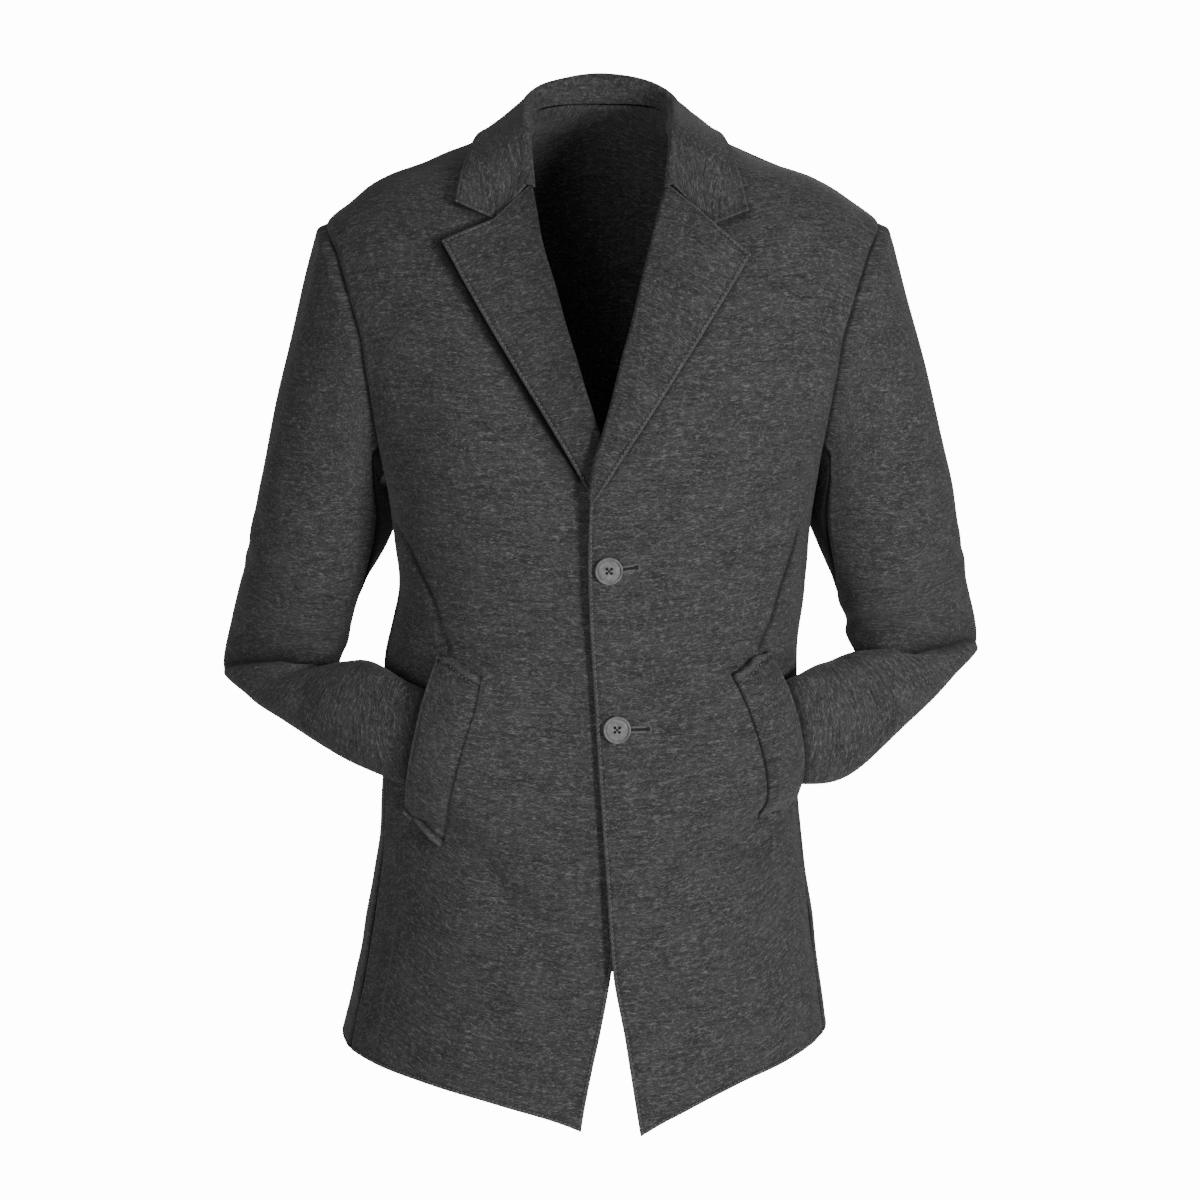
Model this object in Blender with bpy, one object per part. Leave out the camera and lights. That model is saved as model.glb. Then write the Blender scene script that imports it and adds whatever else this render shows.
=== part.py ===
# Car coat in its worn form: charcoal wool, single-breasted, notch lapels, slanted welt pockets,
# both sleeves bent so that the cuffs lie in the pockets.
# Metres, +Z up. The front faces -Y and +X is the wearer's left. The origin is the middle of the
# neck opening, level with the inner ends of the shoulder seams.

import math

import bmesh
import bpy
import numpy as np
from mathutils import Matrix, Vector

# Cloth and seams
CLOTH = 0.0022  # wall of the wool cloth
TRIM_CLOTH = 0.0020  # wall of lapels, collar and welts
SEAM_ANGLE = 0.0012  # half of the gap at a side or shoulder seam, in radians of body angle
SLEEVE_SEAM = 0.0007  # the sleeve head stands this far off the armhole edge
LAY_GAP = 0.0017  # air under a welt

# Levels of the body
UNDERARM = -0.295
SHOULDER_POINT = -0.0835
NAPE = 0.012
BACK_HEM = -0.788
SIDE_HEM = {"left": -0.787, "right": -0.797}
FRONT_HEM = -0.831
GORGE_HEIGHT = -0.048  # where the roll line meets the collar
SIDES = {"left": 1.0, "right": -1.0}


class Table:
    # Rows of named columns, read smoothly by the first column without overshoot.
    def __init__(self, columns, rows):
        values = np.array(sorted(rows), dtype=float)
        self.keys = values[:, 0]
        self.values = {name: values[:, k] for k, name in enumerate(columns)}
        self.slopes = {name: self.slope(column) for name, column in self.values.items()}

    def slope(self, column):
        steps = np.diff(self.keys)
        rises = np.diff(column) / steps
        slope = np.concatenate([rises[:1], rises[:-1] * 0, rises[-1:]])
        before, after = rises[:-1], rises[1:]
        same_way = before * after > 0
        total = before + after
        slope[1:-1][same_way] = (2 * before * after)[same_way] / total[same_way]
        return slope

    def read(self, name, key):
        key = np.clip(np.asarray(key, dtype=float), self.keys[0], self.keys[-1])
        k = np.clip(np.searchsorted(self.keys, key) - 1, 0, len(self.keys) - 2)
        width = self.keys[k + 1] - self.keys[k]
        t = (key - self.keys[k]) / width
        low, high = self.values[name][k], self.values[name][k + 1]
        from_low, from_high = self.slopes[name][k] * width, self.slopes[name][k + 1] * width
        rise = t * t * (3 - 2 * t)
        return low + (high - low) * rise + (t - 1) * t * ((t - 1) * from_low + t * from_high)


# Level cuts through the worn body: half width on each side, depth before and behind the side line
BODY = Table(
    ("height", "right", "left", "front", "back", "front_square", "back_square"),
    (
        (0.030, 0.050, 0.050, 0.030, 0.052, 2.00, 2.00),
        (0.012, 0.058, 0.058, 0.042, 0.064, 2.00, 2.00),
        (0.000, 0.064, 0.064, 0.050, 0.072, 2.05, 2.05),
        (-0.015, 0.102, 0.101, 0.060, 0.082, 2.10, 2.10),
        (-0.031, 0.142, 0.136, 0.069, 0.091, 2.15, 2.15),
        (-0.0475, 0.184, 0.181, 0.078, 0.099, 2.20, 2.20),
        (-0.0625, 0.2045, 0.206, 0.086, 0.106, 2.20, 2.25),
        (-0.0835, 0.228, 0.233, 0.096, 0.113, 2.25, 2.30),
        (-0.0980, 0.2325, 0.2375, 0.103, 0.117, 2.27, 2.35),
        (-0.120, 0.2345, 0.2395, 0.112, 0.122, 2.30, 2.40),
        (-0.170, 0.225, 0.229, 0.127, 0.129, 2.30, 2.40),
        (-0.220, 0.208, 0.211, 0.135, 0.130, 2.30, 2.40),
        (-0.300, 0.1825, 0.1848, 0.139, 0.124, 2.30, 2.40),
        (-0.345, 0.1757, 0.1785, 0.1385, 0.118, 2.30, 2.35),
        (-0.389, 0.172, 0.1755, 0.138, 0.113, 2.25, 2.30),
        (-0.459, 0.186, 0.169, 0.141, 0.113, 2.15, 2.25),
        (-0.584, 0.190, 0.173, 0.150, 0.128, 2.05, 2.20),
        (-0.693, 0.206, 0.187, 0.158, 0.139, 1.95, 2.15),
        (-0.811, 0.231, 0.203, 0.166, 0.148, 1.85, 2.10),
        (-0.850, 0.239, 0.208, 0.169, 0.150, 1.85, 2.10),
    ),
)

# Side seams and armholes, as body angles from the centre front
SIDE_SEAM = Table(
    ("height", "right", "left"),
    ((-0.850, 73, 79), (-0.560, 77, 81), (-0.400, 82, 83), (UNDERARM, 85, 85)),
)
ARMHOLE = Table(
    ("height", "front", "back"),
    (
        (UNDERARM, 85, 85),
        (-0.290, 82, 91),
        (-0.275, 77, 98),
        (-0.250, 71, 106),
        (-0.210, 64, 114),
        (-0.170, 60, 117),
        (-0.130, 62, 114),
        (-0.107, 67, 108),
        (-0.092, 76, 100),
        (SHOULDER_POINT, 90, 90),
    ),
)

# The edge of each front: hem, straight edge, break of the lapel, roll line up to the gorge
FRONT_EDGE = Table(
    ("height", "left", "right"),
    (
        (-0.850, 0.0375, -0.0190),
        (-0.828, 0.0335, -0.0166),
        (-0.780, 0.0260, -0.0075),
        (-0.747, 0.0208, 0.0000),
        (-0.690, 0.0107, 0.0107),
        (-0.611, 0.0050, 0.0205),
        (-0.486, -0.0033, 0.0270),
        (-0.346, -0.0098, 0.0250),
        (-0.2965, -0.0080, 0.0120),
        (-0.2475, 0.0050, -0.0035),
        (-0.1918, 0.0198, -0.0214),
        (-0.1400, 0.0332, -0.0365),
        (-0.0900, 0.0453, -0.0507),
        (GORGE_HEIGHT, 0.0574, -0.0586),
    ),
)
BREAK_HEIGHT = -0.2965

# How far the under front lies inside the top one, and over what width that fades out
UNDERLAP = Table(
    ("height", "depth"),
    ((-0.850, 0.016), (-0.690, 0.010), (-0.500, 0.007), (-0.370, 0.009), (-0.280, 0.0155),
     (-0.220, 0.0130), (-0.140, 0.004), (-0.080, 0.0)),
)
UNDERLAP_FULL = -0.012
UNDERLAP_FADE = -0.120

# Soft swells and troughs of the fronts; slant turns a fold's long way up from level
SWELL_COLUMNS = ("x", "height", "slant", "half_length", "half_width", "rise")
SWELLS = {
    "right": (
        (-0.092, -0.520, 75, 0.085, 0.045, 0.009),
        (-0.080, -0.634, -42, 0.060, 0.024, -0.007),
        (-0.070, -0.395, 20, 0.060, 0.026, -0.004),
    ),
    "left": (
        (0.108, -0.515, 105, 0.085, 0.042, 0.009),
        (0.112, -0.595, 30, 0.062, 0.024, -0.007),
        (0.075, -0.405, -25, 0.060, 0.026, -0.004),
    ),
}

# Slanted pockets: the mouth line, and how its front and rear lips part round the sleeve
MOUTH_BOTTOM, MOUTH_TOP = -0.572, -0.437
POCKET = {
    "right": {"bottom_x": -0.159, "top_x": -0.132, "swing": -0.20, "front": 0.028, "rear": 0.017},
    "left": {"bottom_x": 0.159, "top_x": 0.138, "swing": 0.55, "front": 0.026, "rear": 0.017},
}
MOUTH_RUN_ON = 0.25  # the mouth line runs on past its ends by this share, for the grid's sake
MOUTH_LEVEL_RUN_ON = 0.03
LIP_REACH = 0.090  # the front lip's swell fades out over this width
LIP_ROUND = 0.6  # fullness of the parted mouth
BODY_RADIUS = 0.165  # turns a body angle into a width on the fronts
WELT_WIDTH = 0.038
WELT_FOOT = {"mouth": 0.004, "inner": -0.024}  # levels of the welt's ends from the mouth's own ends
WELT_HEAD = {"mouth": 0.005, "inner": -0.010}

# Lapels: place of the point and the notch as distance from the centre and height
LAPEL = {
    "left": {"point": (0.1215, -0.0985), "notch": (0.0937, -0.0735), "gorge": (0.0574, GORGE_HEIGHT)},
    "right": {"point": (0.1263, -0.0890), "notch": (0.0915, -0.0680), "gorge": (0.0586, GORGE_HEIGHT)},
}
ROLL_RADIUS = 0.0042
ROLL_GAP = 0.0007  # air between a lapel's rolled start and the front's edge
ROLL_PROBE = 0.05  # share of the lapel's width over which its way across is taken
ROLL_COLUMNS = 4
LAPEL_STANDOFF = 0.0046  # the middle of a lapel stands this far beyond its rolled start
STANDOFF_RISE = 0.4  # share of the lapel's length over which it comes up to that
STANDOFF_SPAN = 0.8  # how far round the standoff's half wave the outer edge comes
NOTCH_REACH = 6  # how soon the top edge's bend fades down the lapel
LAPEL_FOOT = 0.005  # width of a lapel at its break
GORGE_GAP = 0.0008

# Collar lines from the centre back (0) to the front end (1): the middle of the fold, the middle of
# the fall and the outer edge; the stand starts on the panels' own neck edge
LINE = ("along", "out", "y", "z")


def collar_line(*rows):
    other_side = [(-along, -out, y, z) for along, out, y, z in rows if along > 0]
    return Table(LINE, rows + tuple(other_side))


COLLAR = {
    "fold": collar_line(
        (0.00, 0.0000, 0.0640, 0.0390), (0.30, 0.0455, 0.0462, 0.0340), (0.55, 0.0625, 0.0050, 0.0170),
        (0.78, 0.0615, -0.0470, -0.0055), (1.00, 0.0580, -0.0780, -0.0440),
    ),
    "fall": collar_line(
        (0.00, 0.0000, 0.0770, 0.0190), (0.30, 0.0590, 0.0580, 0.0160), (0.55, 0.0815, 0.0050, 0.0080),
        (0.78, 0.0850, -0.0600, -0.0220), (1.00, 0.0925, -0.0850, -0.0690),
    ),
    "edge": collar_line(
        (0.00, 0.0000, 0.0890, -0.0060), (0.30, 0.0720, 0.0690, -0.0080), (0.55, 0.1010, 0.0060, -0.0065),
        (0.78, 0.1120, -0.0600, -0.0340), (1.00, 0.1180, -0.0830, -0.0595),
    ),
}
COLLAR_FOLD_RADIUS = 0.0034
NECK_GAP = 0.0012  # the collar stands this far above the neck edge
NECK_SHOULDER = 0.5  # share of the collar's length from the centre back to the shoulder seams
NOTCH_START = 0.7  # from here on the fall bends towards the notch
COLLAR_STAND_ROWS = 2
COLLAR_FOLD_ROWS = 4

# Sleeve rings below the head: centre, and the reach of each ring to its outer side ("over") and
# towards the inside of the elbow ("fore"). "out" is measured away from the body's centre.
RING_COLUMNS = ("out", "y", "z", "over_out", "over_y", "over_z", "fore_out", "fore_y", "fore_z")
SLEEVE_RINGS = {
    "right": (
        (0.2371, 0.024, -0.3220, 0.0561, -0.004, 0.0140, -0.0040, -0.062, -0.0080),
        (0.2470, 0.026, -0.3700, 0.0515, -0.0140, 0.0100, -0.0160, -0.056, -0.0100),
        (0.2640, 0.030, -0.4120, 0.0310, -0.0305, 0.0045, -0.0390, -0.044, -0.0100),
        (0.2765, 0.033, -0.4620, 0.0290, -0.028, 0.0045, -0.0430, -0.044, 0.0180),
        (0.2630, 0.013, -0.4820, 0.0270, -0.026, 0.0040, -0.0310, -0.028, 0.0230),
        (0.2440, -0.016, -0.4830, 0.0230, -0.023, 0.0030, -0.0220, -0.014, 0.0305),
        (0.2040, -0.062, -0.4925, 0.0160, -0.018, 0.0000, -0.0040, -0.002, 0.0420),
        (0.1460, -0.1005, -0.5060, 0.0062, -0.0142, 0.0000, 0.0000, 0.000, 0.0430),
        (0.1060, -0.1130, -0.5130, 0.0056, -0.0150, 0.0000, -0.0060, -0.002, 0.0400),
    ),
    "left": (
        (0.2430, 0.024, -0.3200, 0.0596, -0.004, 0.0140, -0.0040, -0.062, -0.0080),
        (0.2530, 0.026, -0.3640, 0.0545, -0.0150, 0.0100, -0.0160, -0.056, -0.0100),
        (0.2618, 0.030, -0.4020, 0.0360, -0.035, 0.0048, -0.0410, -0.045, -0.0100),
        (0.2735, 0.033, -0.4410, 0.0340, -0.032, 0.0045, -0.0435, -0.044, 0.0170),
        (0.2620, 0.013, -0.4640, 0.0280, -0.027, 0.0040, -0.0320, -0.028, 0.0250),
        (0.2400, -0.014, -0.4760, 0.0240, -0.024, 0.0030, -0.0210, -0.013, 0.0360),
        (0.2000, -0.044, -0.5010, 0.0180, -0.018, 0.0000, -0.0040, -0.002, 0.0450),
        (0.1490, -0.0800, -0.5055, 0.0105, -0.0113, 0.0000, 0.0000, 0.000, 0.0430),
        (0.1130, -0.1050, -0.5110, 0.0090, -0.0125, 0.0000, -0.0060, -0.002, 0.0400),
    ),
}
SLEEVE_HEAD_ROLL = 0.0105  # the head swells this far beyond the shoulder end
SLEEVE_FOOT_ROLL = 0.0042  # and this far at the underarm
SLEEVE_HEAD_DROP = 0.007  # level of that swell below the armhole edge
SLEEVE_SEAMS = (140, 250)  # fore and hind seam, in degrees round the sleeve from the top
RING_SAMPLES = 36  # places round a ring for its mean distance from the next
SLEEVE_PROBE = 2e-3  # step for the sleeve's normals
SLEEVE_SEAM_DEGREES = 0.36  # half of the gap at those seams

# Buttons: 36-line, four holes, raised rim
BUTTON_PLACES = {"button_upper": (0.0073, -0.3545), "button_lower": (0.0139, -0.4864)}
BUTTON_RADIUS = 0.0115
BUTTON_PROFILE = (  # radius as a share of the button's, height above the cloth
    (0.00, 0.0000), (0.82, 0.0000), (0.97, 0.0010), (1.00, 0.0022), (0.95, 0.0036),
    (0.86, 0.0040), (0.76, 0.0034), (0.68, 0.0028), (0.00, 0.0027),
)
BUTTON_STEPS = 28
BUTTON_LIFT = 0.0005
HOLE_RADIUS = 0.0012
HOLE_SPACING = 0.00184  # of a hole's middle from the button's, across and along
HOLE_SIDES = 10
HOLE_CUT = 0.012  # length of the cutter

# Grid sizes of the solids
# Rows of the body panels: level at the side seam, armhole and shoulder, level at the front edge,
# level at the centre back, rise of the row between its ends, and the number of rows to the next mark
ZONES = (
    ("hem", None, FRONT_HEM, BACK_HEM, 0.0, 7),
    ("mouth bottom", MOUTH_BOTTOM, MOUTH_BOTTOM, -0.565, 0.0, 6),
    ("mouth top", MOUTH_TOP, MOUTH_TOP, -0.435, 0.0, 4),
    ("underarm", UNDERARM, BREAK_HEIGHT, -0.295, 0.0, 2),
    ("armhole bottom", -0.276, -0.274, -0.276, 0.0, 5),
    ("armhole top", -0.108, -0.150, -0.115, 0.012, 2),
    ("shoulder point", SHOULDER_POINT, -0.128, -0.090, 0.023, 5),
    ("neck", 0.0, GORGE_HEIGHT, NAPE, 0.0, 0),
)
AT_OUTER_EDGE, AT_FRONT_EDGE, AT_CENTRE_BACK, MIDDLE_RISE, ROW_COUNT = 1, 2, 3, 4, 5
COLUMNS_BEFORE_MOUTH = 9
COLUMNS_BEHIND_MOUTH = 4
MOUTH_LINE_END, MOUTH_LINE_FADE = -0.40, 0.15  # above here the columns leave the mouth's line
BACK_COLUMNS = 16
TOP_SLEEVE_COLUMNS = 15
UNDER_SLEEVE_COLUMNS = 6
SLEEVE_ROWS = 26
SLEEVE_HEAD_ROWS = 2  # of these, from the armhole to the fullest line of the head
COLLAR_COLUMNS = 26
FALL_ROWS = 4
LAPEL_ROWS = 14
LAPEL_COLUMNS = 6
WELT_ROWS = 10
WELT_COLUMNS = 4
LEVEL_DIP = 3.5  # how quickly a row leaves the front edge's level for the outer edge's
GRID_TOLERANCE = 1e-5

# Finishes
WOOL = (0.060, 0.060, 0.062)
BUTTON_HORN = (0.110, 0.110, 0.112)
WOOL_ROUGHNESS = 0.9
BUTTON_ROUGHNESS = 0.45


def smooth_step(share):
    share = np.clip(share, 0.0, 1.0)
    return share * share * (3.0 - 2.0 * share)


def unit(vectors):
    return vectors / np.linalg.norm(vectors, axis=-1, keepdims=True)


# Body surface

def body_point(angle, height):
    angle, height = np.broadcast_arrays(np.asarray(angle, float), np.asarray(height, float))
    sine, cosine = np.sin(angle), np.cos(angle)
    half = np.where(sine >= 0, BODY.read("left", height), BODY.read("right", height))
    ahead = cosine >= 0
    depth = np.where(ahead, -BODY.read("front", height), BODY.read("back", height))
    square = np.where(ahead, BODY.read("front_square", height), BODY.read("back_square", height))
    x = np.sign(sine) * half * np.abs(sine) ** (2 / square)
    y = depth * np.abs(cosine) ** (2 / square)
    return np.stack([x, y, height], axis=-1)


def normal_of(surface, angle, height):
    turn, rise = 2e-3, 1e-3
    across = surface(angle + turn, height) - surface(angle - turn, height)
    upward = surface(angle, height + rise) - surface(angle, height - rise)
    return unit(np.cross(across, upward))


def angle_at(x, height):
    half = np.where(x >= 0, BODY.read("left", height), BODY.read("right", height))
    share = np.clip(np.abs(x) / half, 0.0, 1.0)
    return np.sign(x) * np.arcsin(share ** (BODY.read("front_square", height) / 2))


# Fronts

def mouth_angle(side, height):
    pocket = POCKET[side]
    share = (height - MOUTH_BOTTOM) / (MOUTH_TOP - MOUTH_BOTTOM)
    share = np.clip(share, -MOUTH_RUN_ON, 1 + MOUTH_RUN_ON)
    x = pocket["bottom_x"] + (pocket["top_x"] - pocket["bottom_x"]) * share
    level = np.clip(height, MOUTH_BOTTOM - MOUTH_LEVEL_RUN_ON, MOUTH_TOP + MOUTH_LEVEL_RUN_ON)
    return np.abs(angle_at(x, level))


def mouth_opening(height):
    share = np.clip((height - MOUTH_BOTTOM) / (MOUTH_TOP - MOUTH_BOTTOM), 0.0, 1.0)
    return np.maximum(np.sin(np.pi * share), 0.0) ** LIP_ROUND


def swell_rise(side, x, height):
    rise = np.zeros_like(x)
    for row in SWELLS[side]:
        swell = dict(zip(SWELL_COLUMNS, row))
        slant = math.radians(swell["slant"])
        along = (x - swell["x"]) * math.cos(slant) + (height - swell["height"]) * math.sin(slant)
        across = (height - swell["height"]) * math.cos(slant) - (x - swell["x"]) * math.sin(slant)
        spread = (along / swell["half_length"]) ** 2 + (across / swell["half_width"]) ** 2
        rise = rise + swell["rise"] * np.exp(-spread)
    return rise


def underlap_sink(x, height):
    share = (x - UNDERLAP_FADE) / (UNDERLAP_FULL - UNDERLAP_FADE)
    return UNDERLAP.read("depth", height) * smooth_step(share)


def front_point(side, angle, height, rear_lip=False):
    # angle counts away from the centre front towards this front's own side seam
    sign = SIDES[side]
    point = body_point(sign * angle, height)
    outward = normal_of(body_point, sign * angle, np.asarray(height, float))
    rise = swell_rise(side, point[..., 0], height)
    if side == "right":
        rise = rise - underlap_sink(point[..., 0], height)
    point = point + outward * rise[..., None]
    pocket = POCKET[side]
    mouth = mouth_angle(side, height)
    opening = mouth_opening(height)
    seam = np.radians(SIDE_SEAM.read(side, height))
    before = np.clip((mouth - angle) * BODY_RADIUS / LIP_REACH, 0.0, 1.0)
    behind = np.clip((angle - mouth) / (seam - mouth), 0.0, 1.0)
    forward = pocket["front"] * opening * np.cos(np.pi / 2 * before) ** 2
    inward = pocket["rear"] * opening * np.cos(np.pi / 2 * behind) ** 2
    swing = pocket["swing"]
    lip_way = np.array([swing, -math.sqrt(1 - swing * swing), 0.0])
    front_shift = lip_way * forward[..., None]
    rear_shift = -outward * inward[..., None]
    on_rear = np.broadcast_to(np.asarray(rear_lip), np.shape(angle))
    return point + np.where(on_rear[..., None], rear_shift, front_shift)


def front_at(side, x, height, lift=0.0):
    # A place on the front's outer face, moved out by lift
    sign = SIDES[side]
    x, height = np.asarray(x, float), np.asarray(height, float)

    def surface(turn, level):
        return front_point(side, sign * turn, level)

    turn = angle_at(x, height)
    outward = normal_of(surface, turn, height)
    return surface(turn, height) + outward * np.asarray(lift)[..., None], outward


def zone_levels(column, side="left"):
    # One column of the zones spread over all rows, from the hem up
    marks = [SIDE_HEM[side] if zone[column] is None else zone[column] for zone in ZONES]
    levels = []
    for low, high, zone in zip(marks[:-1], marks[1:], ZONES):
        levels.extend(low + (high - low) * np.arange(zone[ROW_COUNT]) / zone[ROW_COUNT])
    return np.array(levels + marks[-1:])


def outer_angle(side, part, height):
    # Side seam below the armhole, armhole edge, then the shoulder seam
    seam = SIDE_SEAM.read(side, height)
    armhole = ARMHOLE.read(part, height)
    angle = np.where(height < UNDERARM, seam, np.where(height < SHOULDER_POINT, armhole, 90.0))
    gap = SEAM_ANGLE if part == "front" else -SEAM_ANGLE
    return np.radians(angle) - gap


def front_panel(side):
    sign = SIDES[side]
    outer, inner = zone_levels(AT_OUTER_EDGE, side), zone_levels(AT_FRONT_EDGE)
    rise = zone_levels(MIDDLE_RISE)
    columns = COLUMNS_BEFORE_MOUTH + COLUMNS_BEHIND_MOUTH
    rows = len(outer) - 1
    mouth_share = COLUMNS_BEFORE_MOUTH / columns
    mouth_rows = (ZONES[0][ROW_COUNT], ZONES[0][ROW_COUNT] + ZONES[1][ROW_COUNT])

    def place(u, v, rear):
        row = np.rint(v * rows).astype(int)
        height = outer[row] + (inner[row] - outer[row]) * (1 - u) ** LEVEL_DIP
        height = height + rise[row] * np.sin(np.pi * u)
        start = sign * angle_at(FRONT_EDGE.read(side, inner[row]), inner[row])
        end = outer_angle(side, "front", outer[row])
        level_at_mouth = outer[row] + (inner[row] - outer[row]) * (1 - mouth_share) ** LEVEL_DIP
        mouth = mouth_angle(side, level_at_mouth)
        above = smooth_step((level_at_mouth - MOUTH_LINE_END) / MOUTH_LINE_FADE)
        mouth = mouth + (start + (end - start) * mouth_share - mouth) * above
        before = start + (mouth - start) * u / mouth_share
        behind = mouth + (end - mouth) * (u - mouth_share) / (1 - mouth_share)
        past_mouth = u > mouth_share + GRID_TOLERANCE
        angle = np.where(past_mouth, behind, before)
        facing = normal_of(body_point, sign * angle, height)
        return front_point(side, angle, height, rear | past_mouth), facing

    slit = (COLUMNS_BEFORE_MOUTH, mouth_rows)
    return panel("front_" + side, columns, rows, place, slit)


def back_panel():
    left, right = zone_levels(AT_OUTER_EDGE, "left"), zone_levels(AT_OUTER_EDGE, "right")
    centre, rise = zone_levels(AT_CENTRE_BACK), zone_levels(MIDDLE_RISE)
    rows = len(centre) - 1

    def place(u, v, rear):
        row = np.rint(v * rows).astype(int)
        side_level = np.where(u < 0.5, left[row], right[row])
        aside = np.abs(2 * u - 1)
        height = centre[row] + (side_level - centre[row]) * aside ** LEVEL_DIP
        height = height + rise[row] * np.sin(np.pi * aside)
        from_left = outer_angle("left", "back", left[row])
        from_right = 2 * np.pi - outer_angle("right", "back", right[row])
        angle = from_left + (from_right - from_left) * u
        return body_point(angle, height), normal_of(body_point, angle, height)

    return panel("back", BACK_COLUMNS, rows, place)


def welt(side):
    sign = SIDES[side]
    bottom, top = MOUTH_BOTTOM, MOUTH_TOP

    def surface_at(angle, height):
        return front_point(side, angle, height)

    def place(u, v):
        foot = bottom + WELT_FOOT["mouth"] + (WELT_FOOT["inner"] - WELT_FOOT["mouth"]) * u
        head = top + WELT_HEAD["mouth"] + (WELT_HEAD["inner"] - WELT_HEAD["mouth"]) * u
        height = foot + (head - foot) * v
        mouth_foot, mouth_head = bottom + WELT_FOOT["mouth"], top + WELT_HEAD["mouth"]
        mouth_level = mouth_foot + (mouth_head - mouth_foot) * v
        angle = mouth_angle(side, mouth_level) - u * WELT_WIDTH / BODY_RADIUS
        outward = normal_of(surface_at, angle, height) * sign
        return surface_at(angle, height) + outward * (LAY_GAP + TRIM_CLOTH)

    return sheet("pocket_welt_" + side, WELT_COLUMNS, WELT_ROWS, place, TRIM_CLOTH, flip=sign > 0)


# Lapels and collar

def lapel(side):
    sign = SIDES[side]
    shape = LAPEL[side]
    columns = ROLL_COLUMNS + LAPEL_COLUMNS
    top_level = GORGE_HEIGHT - GORGE_GAP

    def flat_place(along, share):
        # Roll line to outer edge, with the top edge bent at the notch
        level = BREAK_HEIGHT + (top_level - BREAK_HEIGHT) * along
        roll_x = FRONT_EDGE.read(side, level)
        foot_x = FRONT_EDGE.read(side, BREAK_HEIGHT) + sign * LAPEL_FOOT
        point_x, point_z = sign * shape["point"][0], shape["point"][1]
        edge_x = foot_x + (point_x - foot_x) * along
        edge_z = BREAK_HEIGHT + (point_z - BREAK_HEIGHT) * along
        x = roll_x + (edge_x - roll_x) * share
        z = level + (edge_z - level) * share
        notch_x, notch_z = sign * shape["notch"][0], shape["notch"][1] - GORGE_GAP
        notch_share = (shape["notch"][0] - shape["gorge"][0]) / (shape["point"][0] - shape["gorge"][0])
        lean = np.where(share < notch_share, share / notch_share, (1 - share) / (1 - notch_share))
        straight_z = top_level + (point_z - top_level) * notch_share
        return x, z + (notch_z - straight_z) * lean * along ** NOTCH_REACH

    def place(u, v):
        arc = ROLL_COLUMNS / columns
        share = np.clip((u - arc) / (1 - arc), 0.0, 1.0)
        x, z = flat_place(v, share)
        standoff = LAPEL_STANDOFF * smooth_step(v / STANDOFF_RISE)
        lift = ROLL_RADIUS - CLOTH / 2 + standoff * np.sin(np.pi * STANDOFF_SPAN * share)
        laid, outward = front_at(side, x, z, lift)
        next_x, next_z = flat_place(v, np.full_like(v, ROLL_PROBE))
        start_x, start_z = flat_place(v, np.zeros_like(v))
        roll, roll_out = front_at(side, start_x, start_z, np.full_like(v, -CLOTH / 2))
        ahead, _ = front_at(side, next_x, next_z, np.full_like(v, -CLOTH / 2))
        opening_way = -unit(ahead - roll)
        turn = np.pi * np.clip(u / arc, 0.0, 1.0)
        rolled = roll + opening_way * (ROLL_GAP + ROLL_RADIUS * np.sin(turn))[..., None]
        rolled = rolled - roll_out * (ROLL_RADIUS * np.cos(turn))[..., None]
        return np.where((u < arc - GRID_TOLERANCE)[..., None], rolled, laid)

    return sheet("lapel_" + side, columns, LAPEL_ROWS, place, TRIM_CLOTH, flip=sign < 0)


def neck_edge(side, along):
    # The panels' neck edge from the centre back (0) over the shoulder seam to the gorge (1)
    behind = np.clip(along / NECK_SHOULDER, 0.0, 1.0)
    before = np.clip((along - NECK_SHOULDER) / (1 - NECK_SHOULDER), 0.0, 1.0)
    gorge = abs(float(angle_at(FRONT_EDGE.read(side, GORGE_HEIGHT), GORGE_HEIGHT)))
    quarter = np.pi / 2
    angle = np.pi - quarter * behind + (gorge - quarter) * before
    height = NAPE * (1 - behind ** LEVEL_DIP) + GORGE_HEIGHT * before ** LEVEL_DIP
    return body_point(SIDES[side] * angle, height)


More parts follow.
